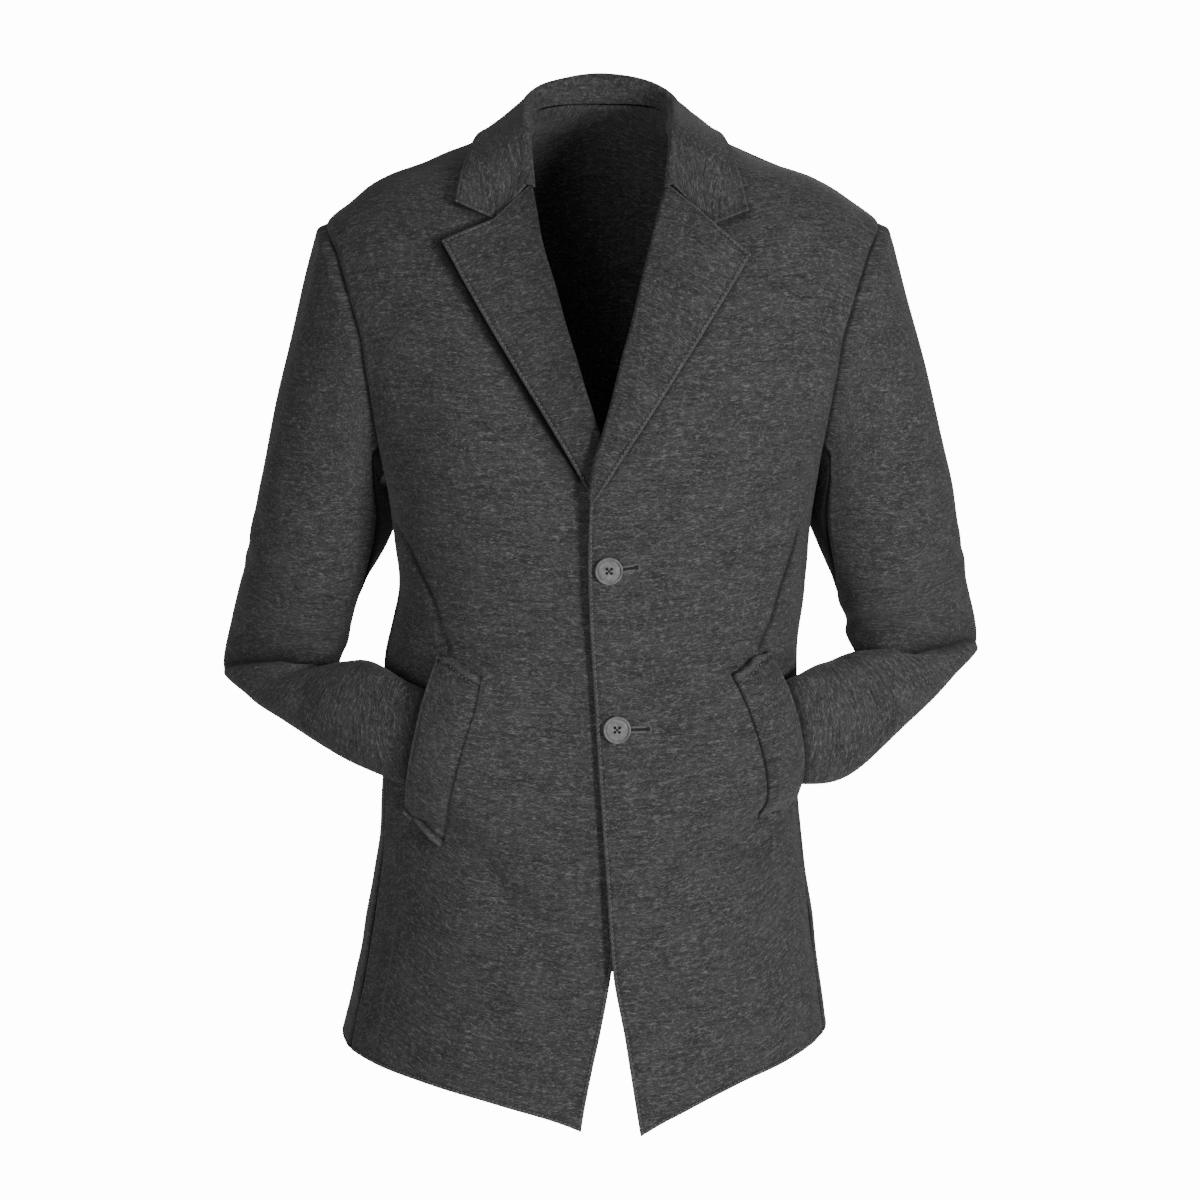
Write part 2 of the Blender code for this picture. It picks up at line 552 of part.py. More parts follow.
def collar():
    rows = COLLAR_STAND_ROWS + COLLAR_FOLD_ROWS + FALL_ROWS

    def station(name, along):
        return np.stack([COLLAR[name].read(axis, along) for axis in LINE[1:]], axis=-1)

    def place(u, v):
        side = 2 * u - 1
        along = np.abs(side)
        fold = station("fold", along)
        seam = np.where((side >= 0)[..., None], neck_edge("left", along), neck_edge("right", along))
        seam = np.abs(seam) * [1, 0, 0] + seam * [0, 1, 1] + [0, 0, NECK_GAP]
        seam[..., :2] *= 1 - TRIM_CLOTH / np.linalg.norm(seam[..., :2], axis=-1, keepdims=True)
        fall, edge = station("fall", along), station("edge", along)
        outward = edge - fold
        outward[..., 2] = 0
        outward = unit(outward) * COLLAR_FOLD_RADIUS
        row = v * rows
        stand = np.clip(row / COLLAR_STAND_ROWS, 0, 1)[..., None]
        turn = np.pi * np.clip((row - COLLAR_STAND_ROWS) / COLLAR_FOLD_ROWS, 0, 1)[..., None]
        drop = np.clip((row - COLLAR_STAND_ROWS - COLLAR_FOLD_ROWS) / FALL_ROWS, 0, 1)[..., None]
        inner_top, outer_top = fold - outward, fold + outward
        upward = np.array([0, 0, COLLAR_FOLD_RADIUS])
        on_stand = seam + (inner_top - seam) * stand
        on_fold = fold - outward * np.cos(turn) + upward * np.sin(turn)
        hang = 2 * fall - (outer_top + edge) / 2
        curved = (1 - drop) ** 2 * outer_top + 2 * drop * (1 - drop) * hang + drop ** 2 * edge
        upper, lower = outer_top + (fall - outer_top) * 2 * drop, fall + (edge - fall) * (2 * drop - 1)
        notched = smooth_step((along - NOTCH_START) / (1 - NOTCH_START))[..., None]
        on_fall = curved + (np.where(drop < 0.5, upper, lower) - curved) * notched
        point = np.where(stand < 1, on_stand, np.where(drop > 0, on_fall, on_fold))
        point[..., 0] = point[..., 0] * np.where(side >= 0, 1.0, -1.0)
        return point

    return sheet("collar", COLLAR_COLUMNS, rows, place, TRIM_CLOTH, flip=True)


# Sleeves

def armhole_ring(side, turn):
    # The panels' own armhole edge; turn 0 is the shoulder point, a quarter turn is the front
    levels = zone_levels(AT_OUTER_EDGE, side)
    levels = levels[(levels >= UNDERARM) & (levels <= SHOULDER_POINT)][::-1]
    middle, half = (SHOULDER_POINT + UNDERARM) / 2, (SHOULDER_POINT - UNDERARM) / 2
    turns = np.arccos(np.clip((levels - middle) / half, -1.0, 1.0))
    front = body_point(SIDES[side] * np.radians(ARMHOLE.read("front", levels)), levels)
    back = body_point(SIDES[side] * np.radians(ARMHOLE.read("back", levels)), levels)
    edge = np.concatenate([front, back[-2::-1]])
    edge_turns = np.concatenate([turns, 2 * np.pi - turns[-2::-1]])
    turn = turn % (2 * np.pi)
    ring = np.stack([np.interp(turn, edge_turns, column) for column in edge.T], axis=-1)
    ring[..., 0] *= SIDES[side]
    return ring


def sleeve_rings(side, turn):
    armhole = armhole_ring(side, turn)
    seated = armhole + np.array([SLEEVE_SEAM, 0.0, 0.0])
    top_share = ((1 + np.cos(turn)) / 2)[..., None]
    roll = SLEEVE_FOOT_ROLL + (SLEEVE_HEAD_ROLL - SLEEVE_FOOT_ROLL) * top_share
    rings = [seated, armhole + roll * np.array([1.0, 0.0, 0.0]) - np.array([0.0, 0.0, SLEEVE_HEAD_DROP])]
    cosine, sine = np.cos(turn), np.sin(turn)
    for row in SLEEVE_RINGS[side]:
        centre, over, fore = np.array(row[0:3]), np.array(row[3:6]), np.array(row[6:9])
        rings.append(centre + cosine[..., None] * over + sine[..., None] * fore)
    return np.stack(rings)


def ring_keys(side):
    # How far down the sleeve each ring lies, on the mean of its ways
    all_round = sleeve_rings(side, np.linspace(0, 2 * np.pi, RING_SAMPLES, endpoint=False))
    steps = np.linalg.norm(np.diff(all_round, axis=0), axis=-1).mean(axis=-1)
    return np.concatenate([[0.0], np.cumsum(steps)])


def sleeve_point(side, turn, along):
    # A smooth curve down the sleeve through every ring, for each place round it
    keys = ring_keys(side)
    rings = sleeve_rings(side, turn)
    before, after = [0, *range(len(keys) - 1)], [*range(1, len(keys)), -1]
    tangents = (rings[after] - rings[before]) / (keys[after] - keys[before])[:, None, None]
    key = np.asarray(along) * keys[-1]
    k = np.clip(np.searchsorted(keys, key) - 1, 0, len(keys) - 2)
    width = (keys[k + 1] - keys[k])[..., None]
    t = ((key - keys[k]) / (keys[k + 1] - keys[k]))[..., None]
    place = np.arange(rings.shape[1])
    low, high = rings[k, place], rings[k + 1, place]
    low_way, high_way = tangents[k, place] * width, tangents[k + 1, place] * width
    rise = t * t * (3 - 2 * t)
    point = low + (high - low) * rise + (t - 1) * t * ((t - 1) * low_way + t * high_way)
    point[..., 0] *= SIDES[side]
    return point


def sleeve(side, part):
    fore, hind = SLEEVE_SEAMS
    first, last = (hind - 360, fore) if part == "top" else (fore, hind)
    first, last = first + SLEEVE_SEAM_DEGREES, last - SLEEVE_SEAM_DEGREES
    columns = TOP_SLEEVE_COLUMNS if part == "top" else UNDER_SLEEVE_COLUMNS
    keys = ring_keys(side)
    row_ends = [0.0, SLEEVE_HEAD_ROWS / SLEEVE_ROWS, 1.0]
    head_ends = [0.0, keys[1] / keys[-1], 1.0]

    def place(u, v, rear):
        turn = np.radians(first + (last - first) * u)
        v = np.interp(v, row_ends, head_ends)
        low, high = np.clip(v - SLEEVE_PROBE, 0, 1), np.clip(v + SLEEVE_PROBE, 0, 1)
        around = sleeve_point(side, turn + SLEEVE_PROBE, v) - sleeve_point(side, turn - SLEEVE_PROBE, v)
        down = sleeve_point(side, turn, high) - sleeve_point(side, turn, low)
        return sleeve_point(side, turn, v), unit(np.cross(around, down)) * SIDES[side]

    return panel("sleeve_" + side + "_" + part, columns, SLEEVE_ROWS, place)


# Buttons

def button(name):
    x, height = BUTTON_PLACES[name]
    seat, outward = front_at("left", np.array([x]), np.array([height]), np.array([BUTTON_LIFT]))
    shape = bmesh.new()
    profile = [shape.verts.new((radius * BUTTON_RADIUS, 0.0, level)) for radius, level in BUTTON_PROFILE]
    edges = [shape.edges.new(pair) for pair in zip(profile[:-1], profile[1:])]
    bmesh.ops.spin(
        shape, geom=profile + edges, axis=(0, 0, 1), cent=(0, 0, 0), angle=math.tau,
        steps=BUTTON_STEPS, use_merge=True,
    )
    bmesh.ops.remove_doubles(shape, verts=shape.verts, dist=1e-6)
    bmesh.ops.recalc_face_normals(shape, faces=shape.faces)
    holes = bmesh.new()
    for across, along in ((1, 1), (1, -1), (-1, 1), (-1, -1)):
        spot = Matrix.Translation((across * HOLE_SPACING, along * HOLE_SPACING, 0.0))
        bmesh.ops.create_cone(
            holes, cap_ends=True, segments=HOLE_SIDES, radius1=HOLE_RADIUS, radius2=HOLE_RADIUS,
            depth=HOLE_CUT, matrix=spot,
        )
    turn = Vector((0, 0, 1)).rotation_difference(Vector(outward[0])).to_matrix().to_4x4()
    seated = Matrix.Translation(Vector(seat[0])) @ turn
    disc = finish_object(name, shape, BUTTON_HORN, BUTTON_ROUGHNESS)
    cutter = finish_object(name + "_holes", holes, BUTTON_HORN, BUTTON_ROUGHNESS)
    for placed in (disc, cutter):
        placed.matrix_world = seated
    cutter.hide_render = True
    cutter.display_type = "WIRE"
    cut = disc.modifiers.new("Holes", "BOOLEAN")
    cut.object = cutter
    cut.operation = "DIFFERENCE"
    return disc


# Objects

def finish_object(name, shape, colour, roughness):
    mesh = bpy.data.meshes.new(name)
    shape.to_mesh(mesh)
    shape.free()
    mesh.shade_smooth()
    material = bpy.data.materials.new(name)
    material.use_nodes = True
    shader = material.node_tree.nodes["Principled BSDF"]
    shader.inputs["Base Color"].default_value = (*colour, 1.0)
    shader.inputs["Roughness"].default_value = roughness
    mesh.materials.append(material)
    made = bpy.data.objects.new(name, mesh)
    bpy.context.scene.collection.objects.link(made)
    return made


def grid(columns, rows):
    shape = bmesh.new()
    bmesh.ops.create_grid(shape, x_segments=columns, y_segments=rows, size=0.5)
    return shape


def shares(verts):
    # Places across and up a grid from 0 to 1, and which verts belong to the rear lip of a slit
    u = np.array([vert.co.x for vert in verts]) + 0.5
    v = np.array([vert.co.y for vert in verts]) + 0.5
    middle = [np.mean([face.calc_center_median().x for face in vert.link_faces]) + 0.5 for vert in verts]
    rear = (np.array(middle) > u + GRID_TOLERANCE) & (u > GRID_TOLERANCE)
    return np.clip(u, 0, 1), np.clip(v, 0, 1), rear


def panel(name, columns, rows, place, slit=None):
    # A panel or sleeve: its wall grows inwards along the normals that place gives with the points
    shape = grid(columns, rows)
    if slit:
        column, (low, high) = slit
        at = column / columns - 0.5

        def on_slit(vert):
            row = (vert.co.y + 0.5) * rows
            return abs(vert.co.x - at) < GRID_TOLERANCE and low - 0.5 < row < high + 0.5

        cut = [edge for edge in shape.edges if all(on_slit(vert) for vert in edge.verts)]
        bmesh.ops.split_edges(shape, edges=cut)
    grown = bmesh.ops.extrude_face_region(shape, geom=list(shape.faces), use_keep_orig=True)
    inner = {item for item in grown["geom"] if isinstance(item, bmesh.types.BMVert)}
    verts = list(shape.verts)
    points, facing = place(*shares(verts))
    for vert, point, outward in zip(verts, points, facing):
        vert.co = point - outward * CLOTH if vert in inner else point
    if shape.calc_volume(signed=True) < 0:
        bmesh.ops.reverse_faces(shape, faces=shape.faces)
    return finish_object(name, shape, WOOL, WOOL_ROUGHNESS)


def sheet(name, columns, rows, place, wall, flip):
    # A grid laid out by place(u, v), with a wall grown inwards from its outer face
    shape = grid(columns, rows)
    verts = list(shape.verts)
    u, v, _ = shares(verts)
    for vert, point in zip(verts, place(u, v)):
        vert.co = point
    if flip:
        bmesh.ops.reverse_faces(shape, faces=shape.faces)
    made = finish_object(name, shape, WOOL, WOOL_ROUGHNESS)
    thick = made.modifiers.new("Cloth", "SOLIDIFY")
    thick.thickness = wall
    thick.offset = -1.0
    thick.use_even_offset = True
    return made


def main():
    for existing in list(bpy.data.objects):
        bpy.data.objects.remove(existing, do_unlink=True)
    back_panel()
    for side in SIDES:
        front_panel(side)
        lapel(side)
        welt(side)
        for part in ("top", "under"):
            sleeve(side, part)
    collar()
    for name in BUTTON_PLACES:
        button(name)


main()
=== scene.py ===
# Car coat in its worn form, dressed for the picture: wool shells on the solids' forms, edge stitching,
# keyhole buttonholes and buttons. Metres, +Z up, the front faces -Y and +X is the wearer's left.

import math

import bmesh
import bpy
import numpy as np
from mathutils import Matrix, Vector


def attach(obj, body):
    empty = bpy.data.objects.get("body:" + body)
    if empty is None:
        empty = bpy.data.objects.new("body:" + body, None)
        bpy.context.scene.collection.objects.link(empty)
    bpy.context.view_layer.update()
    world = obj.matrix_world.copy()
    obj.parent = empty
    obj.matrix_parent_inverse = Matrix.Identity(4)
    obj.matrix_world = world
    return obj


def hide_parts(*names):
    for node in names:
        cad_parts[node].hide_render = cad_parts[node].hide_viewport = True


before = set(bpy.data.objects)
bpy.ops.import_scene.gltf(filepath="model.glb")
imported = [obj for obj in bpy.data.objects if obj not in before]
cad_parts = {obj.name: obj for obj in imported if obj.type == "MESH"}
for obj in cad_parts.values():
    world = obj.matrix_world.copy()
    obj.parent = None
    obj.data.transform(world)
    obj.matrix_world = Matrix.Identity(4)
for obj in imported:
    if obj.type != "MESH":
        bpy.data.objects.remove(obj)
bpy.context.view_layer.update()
print("frame loaded:", len(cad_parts), "nodes")

# Sizes shared by the pieces

coat = {
    "cloth": 0.0022, "trimCloth": 0.0020,
    "seamAngle": 0.0012,  # half of the gap at a side or shoulder seam, in radians
    "underarm": -0.295, "shoulderPoint": -0.0835, "nape": 0.012, "breakHeight": -0.2965,
    "sideHem": {"left": -0.787, "right": -0.797}, "gorgeHeight": -0.048,
    "levelDip": 3.5,  # how quickly a row leaves the front edge's level for the outer edge's
    "bodyRadius": 0.165,
}
sides = {"left": 1.0, "right": -1.0}


def curve(low, high, lowSlope, highSlope, t):  # from low to high, with a slope at each end
    return low + (high - low) * t * t * (3 - 2 * t) + (t - 1) * t * ((t - 1) * lowSlope + t * highSlope)


class SizeTable:  # rows of named columns, read smoothly by the first column without overshoot
    def __init__(self, columns, rows):
        values = np.array(sorted(rows), dtype=float)
        self.keys = values[:, 0]
        self.values = {name: values[:, k] for k, name in enumerate(columns)}
        self.slopes = {name: self.slope(column) for name, column in self.values.items()}

    def slope(self, column):
        rises = np.diff(column) / np.diff(self.keys)
        slope = np.concatenate([rises[:1], rises[:-1] * 0, rises[-1:]])
        before, after = rises[:-1], rises[1:]
        sameWay = before * after > 0
        slope[1:-1][sameWay] = (2 * before * after)[sameWay] / (before + after)[sameWay]
        return slope

    def read(self, name, key):
        key = np.clip(np.asarray(key, dtype=float), self.keys[0], self.keys[-1])
        k = np.clip(np.searchsorted(self.keys, key) - 1, 0, len(self.keys) - 2)
        width = self.keys[k + 1] - self.keys[k]
        t = (key - self.keys[k]) / width
        low, high = self.values[name][k], self.values[name][k + 1]
        return curve(low, high, self.slopes[name][k] * width, self.slopes[name][k + 1] * width, t)


def smoothStep(share):
    share = np.clip(share, 0.0, 1.0)
    return share * share * (3.0 - 2.0 * share)


def unit(vectors):
    return vectors / np.maximum(np.linalg.norm(vectors, axis=-1, keepdims=True), 1e-12)


def readRows(at, keys, rows):  # every column of the rows, read at a key between theirs
    return np.stack([np.interp(at, keys, column) for column in rows.T], axis=-1)


# Finishes


class Shade:  # a node socket that takes part in arithmetic
    def __init__(self, tree, socket=None):
        self.tree, self.socket = tree, socket

    def node(self, kind, settings, inputs, output=0):
        made = self.tree.nodes.new(kind)
        for name, setting in settings.items():
            setattr(made, name, setting)
        for name, given in inputs.items():
            if isinstance(given, Shade):
                self.tree.links.new(given.socket, made.inputs[name])
            else:
                made.inputs[name].default_value = given
        return Shade(self.tree, made.outputs[output])

    def math(self, operation, first, second=0.0):
        return self.node("ShaderNodeMath", {"operation": operation}, {0: first, 1: second})

    def __add__(self, other):
        return self.math("ADD", self, other)

    def __radd__(self, other):
        return self.math("ADD", other, self)

    def __sub__(self, other):
        return self.math("SUBTRACT", self, other)

    def __rsub__(self, other):
        return self.math("SUBTRACT", other, self)

    def __mul__(self, other):
        return self.math("MULTIPLY", self, other)

    def between(self, low, high):  # 0 below low, 1 above high
        settings = {"interpolation_type": "SMOOTHSTEP"}
        return self.node("ShaderNodeMapRange", settings, {"Value": self, "From Min": low, "From Max": high})

    def blend(self, dark, light):  # this socket as the factor between two colours
        settings = {"data_type": "RGBA"}
        return self.node("ShaderNodeMix", settings, {0: self, 6: dark, 7: light}, 2)

    def feed(self, shader, name):
        self.tree.links.new(self.socket, shader.inputs[name])


def startFinish(name, roughness, sheen=0.0, coatWeight=0.0):
    material = bpy.data.materials.new(name)
    material.use_nodes = True
    shader = material.node_tree.nodes["Principled BSDF"]
    shader.inputs["Roughness"].default_value = roughness
    shader.inputs["Sheen Weight"].default_value = sheen
    shader.inputs["Sheen Roughness"].default_value = 0.45
    shader.inputs["Sheen Tint"].default_value = (0.62, 0.62, 0.64, 1.0)
    shader.inputs["Specular IOR Level"].default_value = 0.22
    shader.inputs["Coat Weight"].default_value = coatWeight
    shader.inputs["Coat Roughness"].default_value = 0.3
    return material, shader, Shade(material.node_tree)


woolFinish = {
    "dark": (0.024, 0.024, 0.0249, 1.0), "middle": (0.062, 0.062, 0.0638, 1.0),
    # seam: the tone of seam lines and of painted shade; edge: a painted highlight along edges
    "light": (0.170, 0.170, 0.1740, 1.0), "seam": (0.005, 0.005, 0.0052, 1.0),
    "edge": (0.150, 0.150, 0.1535, 1.0),
    # curled fibres: length, height, slant in degrees, shift, weight
    "fibres": ((0.0105, 0.0026, 3, 3.1, 0.80), (0.0080, 0.0024, -14, 11.7, 0.65),
               (0.0058, 0.0024, 24, 23.9, 0.55)),
    "fibreWidth": 0.062, "fibreShare": 0.62, "broken": (0.38, 0.60), "brokenShift": 50.0,
    # the ground's clouds: length, height, shift, weight
    "pile": (0.0011 * 1.5, 0.0011, 71.0, 0.75), "streak": (0.030, 0.0030, 83.0, 0.55),
    "mottle": (0.030, 0.030 * 0.7, 97.0, 0.35), "ground": (0.52, 1.12),
    "bump": 0.45, "bumpDistance": 0.0006, "bumpFibres": 0.6, "bumpPile": 0.5,
}


def makeWool():
    material, shader, start = startFinish("wool", 0.92, sheen=0.22)
    uv = start.node("ShaderNodeUVMap", {"uv_map": "weave"}, {})
    flat = {"noise_dimensions": "2D"}

    def cloud(length, height, slant=0.0, shift=0.0, detail=1.0):  # soft noise of that grain
        turned = start.node("ShaderNodeMapping", {"vector_type": "TEXTURE"}, {
            "Vector": uv, "Location": (shift * 0.1, shift * 0.037, 0.0),
            "Rotation": (0.0, 0.0, math.radians(slant)), "Scale": (length, height, 1.0)})
        return start.node("ShaderNodeTexNoise", flat, {
            "Vector": turned, "Scale": 1.0, "Detail": detail, "Roughness": 0.5})

    fibres = 0.0
    for length, height, slant, shift, weight in woolFinish["fibres"]:
        level = cloud(length, height, slant, shift)
        line = 1.0 - level.math("ABSOLUTE", level - 0.5).between(0.0, woolFinish["fibreWidth"])
        gaps = cloud(length * 0.9, height * 1.1, slant, shift + woolFinish["brokenShift"])
        fibres = fibres + line * gaps.between(*woolFinish["broken"]) * weight
    clouds, weights = [], []
    for name in ("pile", "streak", "mottle"):
        length, height, shift, weight = woolFinish[name]
        clouds.append(cloud(length, height, 0.0, shift, 2.0))
        weights.append(weight)
    pile, streak, mottle = clouds
    ground = pile * weights[0] + streak * weights[1] + mottle * weights[2]
    base = ground.between(*woolFinish["ground"]).blend(woolFinish["dark"], woolFinish["middle"])
    woven = (fibres * woolFinish["fibreShare"]).blend(base, woolFinish["light"])
    # the mesh attribute darkens the wool towards the seam colour for seam lines and painted shade; below zero
    # it lightens it towards the edge colour as a painted highlight
    seam = start.node("ShaderNodeAttribute", {"attribute_name": "seam_and_painted_shade"}, {}, 2)
    paintedHighlight = (seam * -1.0).blend(woven, woolFinish["edge"])
    seam.blend(paintedHighlight, woolFinish["seam"]).feed(shader, "Base Color")
    bump = start.node("ShaderNodeBump", {}, {
        "Strength": woolFinish["bump"], "Distance": woolFinish["bumpDistance"],
        "Height": fibres * woolFinish["bumpFibres"] + pile * woolFinish["bumpPile"]})
    bump.feed(shader, "Normal")
    return material


def makeThread(name, dark, light):
    material, shader, start = startFinish(name, 0.8, sheen=0.15)
    spot = start.node("ShaderNodeTexCoord", {}, {}, 3)
    twist = start.node("ShaderNodeTexNoise", {}, {"Vector": spot, "Scale": 1400.0, "Detail": 2.0})
    twist.between(0.35, 0.65).blend(dark, light).feed(shader, "Base Color")
    return material


def makeHorn():
    material, shader, start = startFinish("button_horn", 0.42, coatWeight=0.15)
    spot = start.node("ShaderNodeTexCoord", {}, {}, 3)
    cloud = start.node("ShaderNodeTexNoise", {}, {
        "Vector": spot, "Scale": 210.0, "Detail": 4.0, "Distortion": 0.8})
    dark, light = (0.150, 0.150, 0.153, 1.0), (0.235, 0.235, 0.238, 1.0)
    cloud.between(0.3, 0.7).blend(dark, light).feed(shader, "Base Color")
    grain = start.node("ShaderNodeTexNoise", {}, {"Vector": spot, "Scale": 900.0, "Detail": 3.0})
    (grain * 0.2 + 0.33).feed(shader, "Roughness")
    bump = start.node("ShaderNodeBump", {}, {"Strength": 0.1, "Distance": 0.0003, "Height": grain})
    bump.feed(shader, "Normal")
    return material


wool = makeWool()
paleThread = makeThread("edge_thread", (0.130, 0.130, 0.134, 1.0), (0.210, 0.210, 0.215, 1.0))
darkThread = makeThread("button_thread", (0.010, 0.010, 0.011, 1.0), (0.030, 0.030, 0.032, 1.0))
horn = makeHorn()
print("finishes made")

# Cloth pieces

edgeShape = {
    "lip": 0.0010, "lipWidth": 0.0022,  # a turned edge rounds down to the rim
    "puff": 0.0005, "puffAt": 0.0016, "puffWidth": 0.0012,
    "groove": 0.0006, "grooveAt": 0.0034, "grooveWidth": 0.0011,  # pulled in by the stitches
    "seam": 0.0011, "seamWidth": 0.0020, "seamPuff": 0.0004, "seamPuffAt": 0.0055, "seamPuffWidth": 0.0028,
    "steps": (0.0, 0.0006, 0.0013, 0.0022, 0.0032, 0.0043, 0.0057, 0.0075, 0.0100),
    "clear": 1.15,  # the even spacing starts this much beyond the last step
    # painted shade in the stitch groove, and a painted highlight along the rim
    "groovePaintedShade": (0.3, 0.0011), "paintedHighlightAt": 0.0010, "paintedHighlightWidth": 0.0011,
}


def bell(distance, width):
    return np.exp(-(distance / width) ** 2)


def turnedEdge(distance):
    lip = -edgeShape["lip"] * np.clip(1 - distance / edgeShape["lipWidth"], 0, 1) ** 2
    puff = edgeShape["puff"] * bell(distance - edgeShape["puffAt"], edgeShape["puffWidth"])
    return lip + puff - edgeShape["groove"] * bell(distance - edgeShape["grooveAt"], edgeShape["grooveWidth"])


def sewnEdge(distance):
    puff = edgeShape["seamPuff"] * bell(distance - edgeShape["seamPuffAt"], edgeShape["seamPuffWidth"])
    return puff - edgeShape["seam"] * bell(distance, edgeShape["seamWidth"])


def seamAndPaintedShadeLine(distance, depth=0.75, width=0.0017):  # seam lines and painted shade; taken off, a painted highlight along an edge
    return depth * bell(distance, width)


# painted shade in the stitch groove, less a painted highlight by the rim
def edgeShade(distance, paintedHighlight=0.35):
    groove = seamAndPaintedShadeLine(distance - edgeShape["grooveAt"], *edgeShape["groovePaintedShade"])
    return groove - seamAndPaintedShadeLine(distance - edgeShape["paintedHighlightAt"], paintedHighlight, edgeShape["paintedHighlightWidth"])


def creaseRise(creases, a, b, bow=0.12):  # soft troughs and ridges: place, slant, half sizes and rise
    rise = np.zeros_like(a)
    for atA, atB, slant, halfLength, halfWidth, height in creases:
        turn = math.radians(slant)
        along = (a - atA) * math.cos(turn) + (b - atB) * math.sin(turn)
        across = (b - atB) * math.cos(turn) - (a - atA) * math.sin(turn)
        across = across + bow * halfLength * np.sin(along / halfLength * 1.7 + atB * 40)
        rise = rise + height * np.exp(-(along / halfLength) ** 2 - (across / halfWidth) ** 2)
    return rise


def unevenness(s, t, size=0.0004):
    broad = np.sin(s * 71 + 1.3 * np.sin(t * 23)) * np.sin(t * 59 + 0.7)
    return size * (broad + 0.6 * np.sin(s * 131 + t * 97 + 2.1))


def sharesAcross(count, width, fineStart=False, fineEnd=False):
    near = np.array(edgeShape["steps"]) / width
    base = np.linspace(0, 1, count + 1)
    if fineStart:
        base = np.concatenate([near, base[base > near[-1] * edgeShape["clear"]]])
    if fineEnd:
        base = np.concatenate([base[base < 1 - near[-1] * edgeShape["clear"]], 1 - near[::-1]])
    return base


def layOut(uShares, vShares, place, flip):  # points, ways out, and the runs along and up the rows
    u, v = np.meshgrid(uShares, vShares)
    points = np.asarray(place(u.ravel(), v.ravel())).reshape(*u.shape, 3)
    return points, gridNormals(points, flip), runAcross(points), runUp(points)


def gridNormals(points, flip):
    normals = unit(np.cross(np.gradient(points, axis=1), np.gradient(points, axis=0)))
    return -normals if flip else normals


def runAcross(points):  # distance along each row from its first point
    steps = np.linalg.norm(np.diff(points, axis=1), axis=-1)
    return np.concatenate([np.zeros((len(points), 1)), np.cumsum(steps, axis=1)], axis=1)


def runUp(points):
    return runAcross(points.transpose(1, 0, 2)).T


def fromEnd(run):  # distance along each row from its last point
    return run[:, -1:] - run


def clothPiece(name, points, uv, flip, wall, shade, slit=None):
    rows, columns = points.shape[0] - 1, points.shape[1] - 1
    shape = bmesh.new()
    bmesh.ops.create_grid(shape, x_segments=columns, y_segments=rows, size=0.5)
    weave = shape.loops.layers.uv.new("weave")
    # per point: seam lines and painted shade, and below zero a painted highlight
    seamAndPaintedShade = shape.verts.layers.float.new("seam_and_painted_shade")

    def spotOf(vert):
        return round((vert.co.y + 0.5) * rows), round((vert.co.x + 0.5) * columns)

    if slit:
        onSlit = {vert for vert in shape.verts if spotOf(vert)[1] == slit["column"]
                  and slit["rows"][0] <= spotOf(vert)[0] <= slit["rows"][1]}
        bmesh.ops.split_edges(shape, edges=[edge for edge in shape.edges if onSlit.issuperset(edge.verts)])
    spots = {vert: spotOf(vert) for vert in shape.verts}
    places = {}
    for vert, (row, column) in spots.items():
        places[vert] = points[row, column]
        if slit and column == slit["column"] and slit["rows"][0] < row < slit["rows"][1]:
            middle = sum(face.calc_center_median().x for face in vert.link_faces) / len(vert.link_faces)
            if middle > vert.co.x:
                places[vert] = slit["rear"][row]
    for face in shape.faces:
        for loop in face.loops:
            loop[weave].uv = uv[spots[loop.vert]]
    for vert, place in places.items():
        vert[seamAndPaintedShade] = shade[spots[vert]]
        vert.co = place
    if flip:
        bmesh.ops.reverse_faces(shape, faces=shape.faces)
    piece = addPiece(name, shape, wool)
    thick = piece.modifiers.new("Wall", "SOLIDIFY")
    thick.thickness = wall
    thick.offset = -1.0
    return piece


def addPiece(name, shape, material, smooth=True):
    mesh = bpy.data.meshes.new(name)
    shape.to_mesh(mesh)
    shape.free()
    if smooth:
        mesh.shade_smooth()
    mesh.materials.append(material)
    piece = bpy.data.objects.new(name, mesh)
    bpy.context.scene.collection.objects.link(piece)
    return piece


def dress(piece, nodes):
    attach(piece, "root")
    if nodes:
        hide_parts(*nodes)


def dressSewn(piece, name, sewing):  # a cloth piece in its node's place, with its stitches
    stitches = addPiece(name + "_stitches", sewing, paleThread)
    dress(piece, [name])
    dress(stitches, [])
    return stitches


# Stitching

stitchSize = {
    "inset": 0.0033, "pitch": 0.0040, "length": 0.0028, "width": 0.00080, "height": 0.00070, "lift": 0.0002,
    "trim": 0.0035,  # left free at both ends of a line
    "reach": 0.001,  # how far before and behind the line's way is read
}


def insetPath(points, normals, edge, inset, keep=None):
    turn = {
        "start": lambda grid: grid, "end": lambda grid: grid[:, ::-1],
        "bottom": lambda grid: grid.transpose(1, 0, 2), "top": lambda grid: grid.transpose(1, 0, 2)[:, ::-1],
    }[edge]
    places, ways = turn(points), turn(normals)
    run = runAcross(places)
    path = np.array([readRows(inset, distance, place) for distance, place in zip(run, places)])
    facing = unit(np.array([readRows(inset, distance, way) for distance, way in zip(run, ways)]))
    return (path, facing) if keep is None else (path[keep], facing[keep])


def sewAlong(shape, path, facing):
    trim, reach = stitchSize["trim"], stitchSize["reach"]
    steps = np.concatenate([[0.0], np.cumsum(np.linalg.norm(np.diff(path, axis=0), axis=-1))])
    for at in np.arange(trim, steps[-1] - trim, stitchSize["pitch"]):
        outward = unit(readRows(at, steps, facing))
        along = unit(readRows(at + reach, steps, path) - readRows(at - reach, steps, path))
        aside = unit(np.cross(outward, along))
        spot = readRows(at, steps, path) + outward * stitchSize["lift"]
        placeStitch(shape, spot, along, aside, outward, stitchSize)


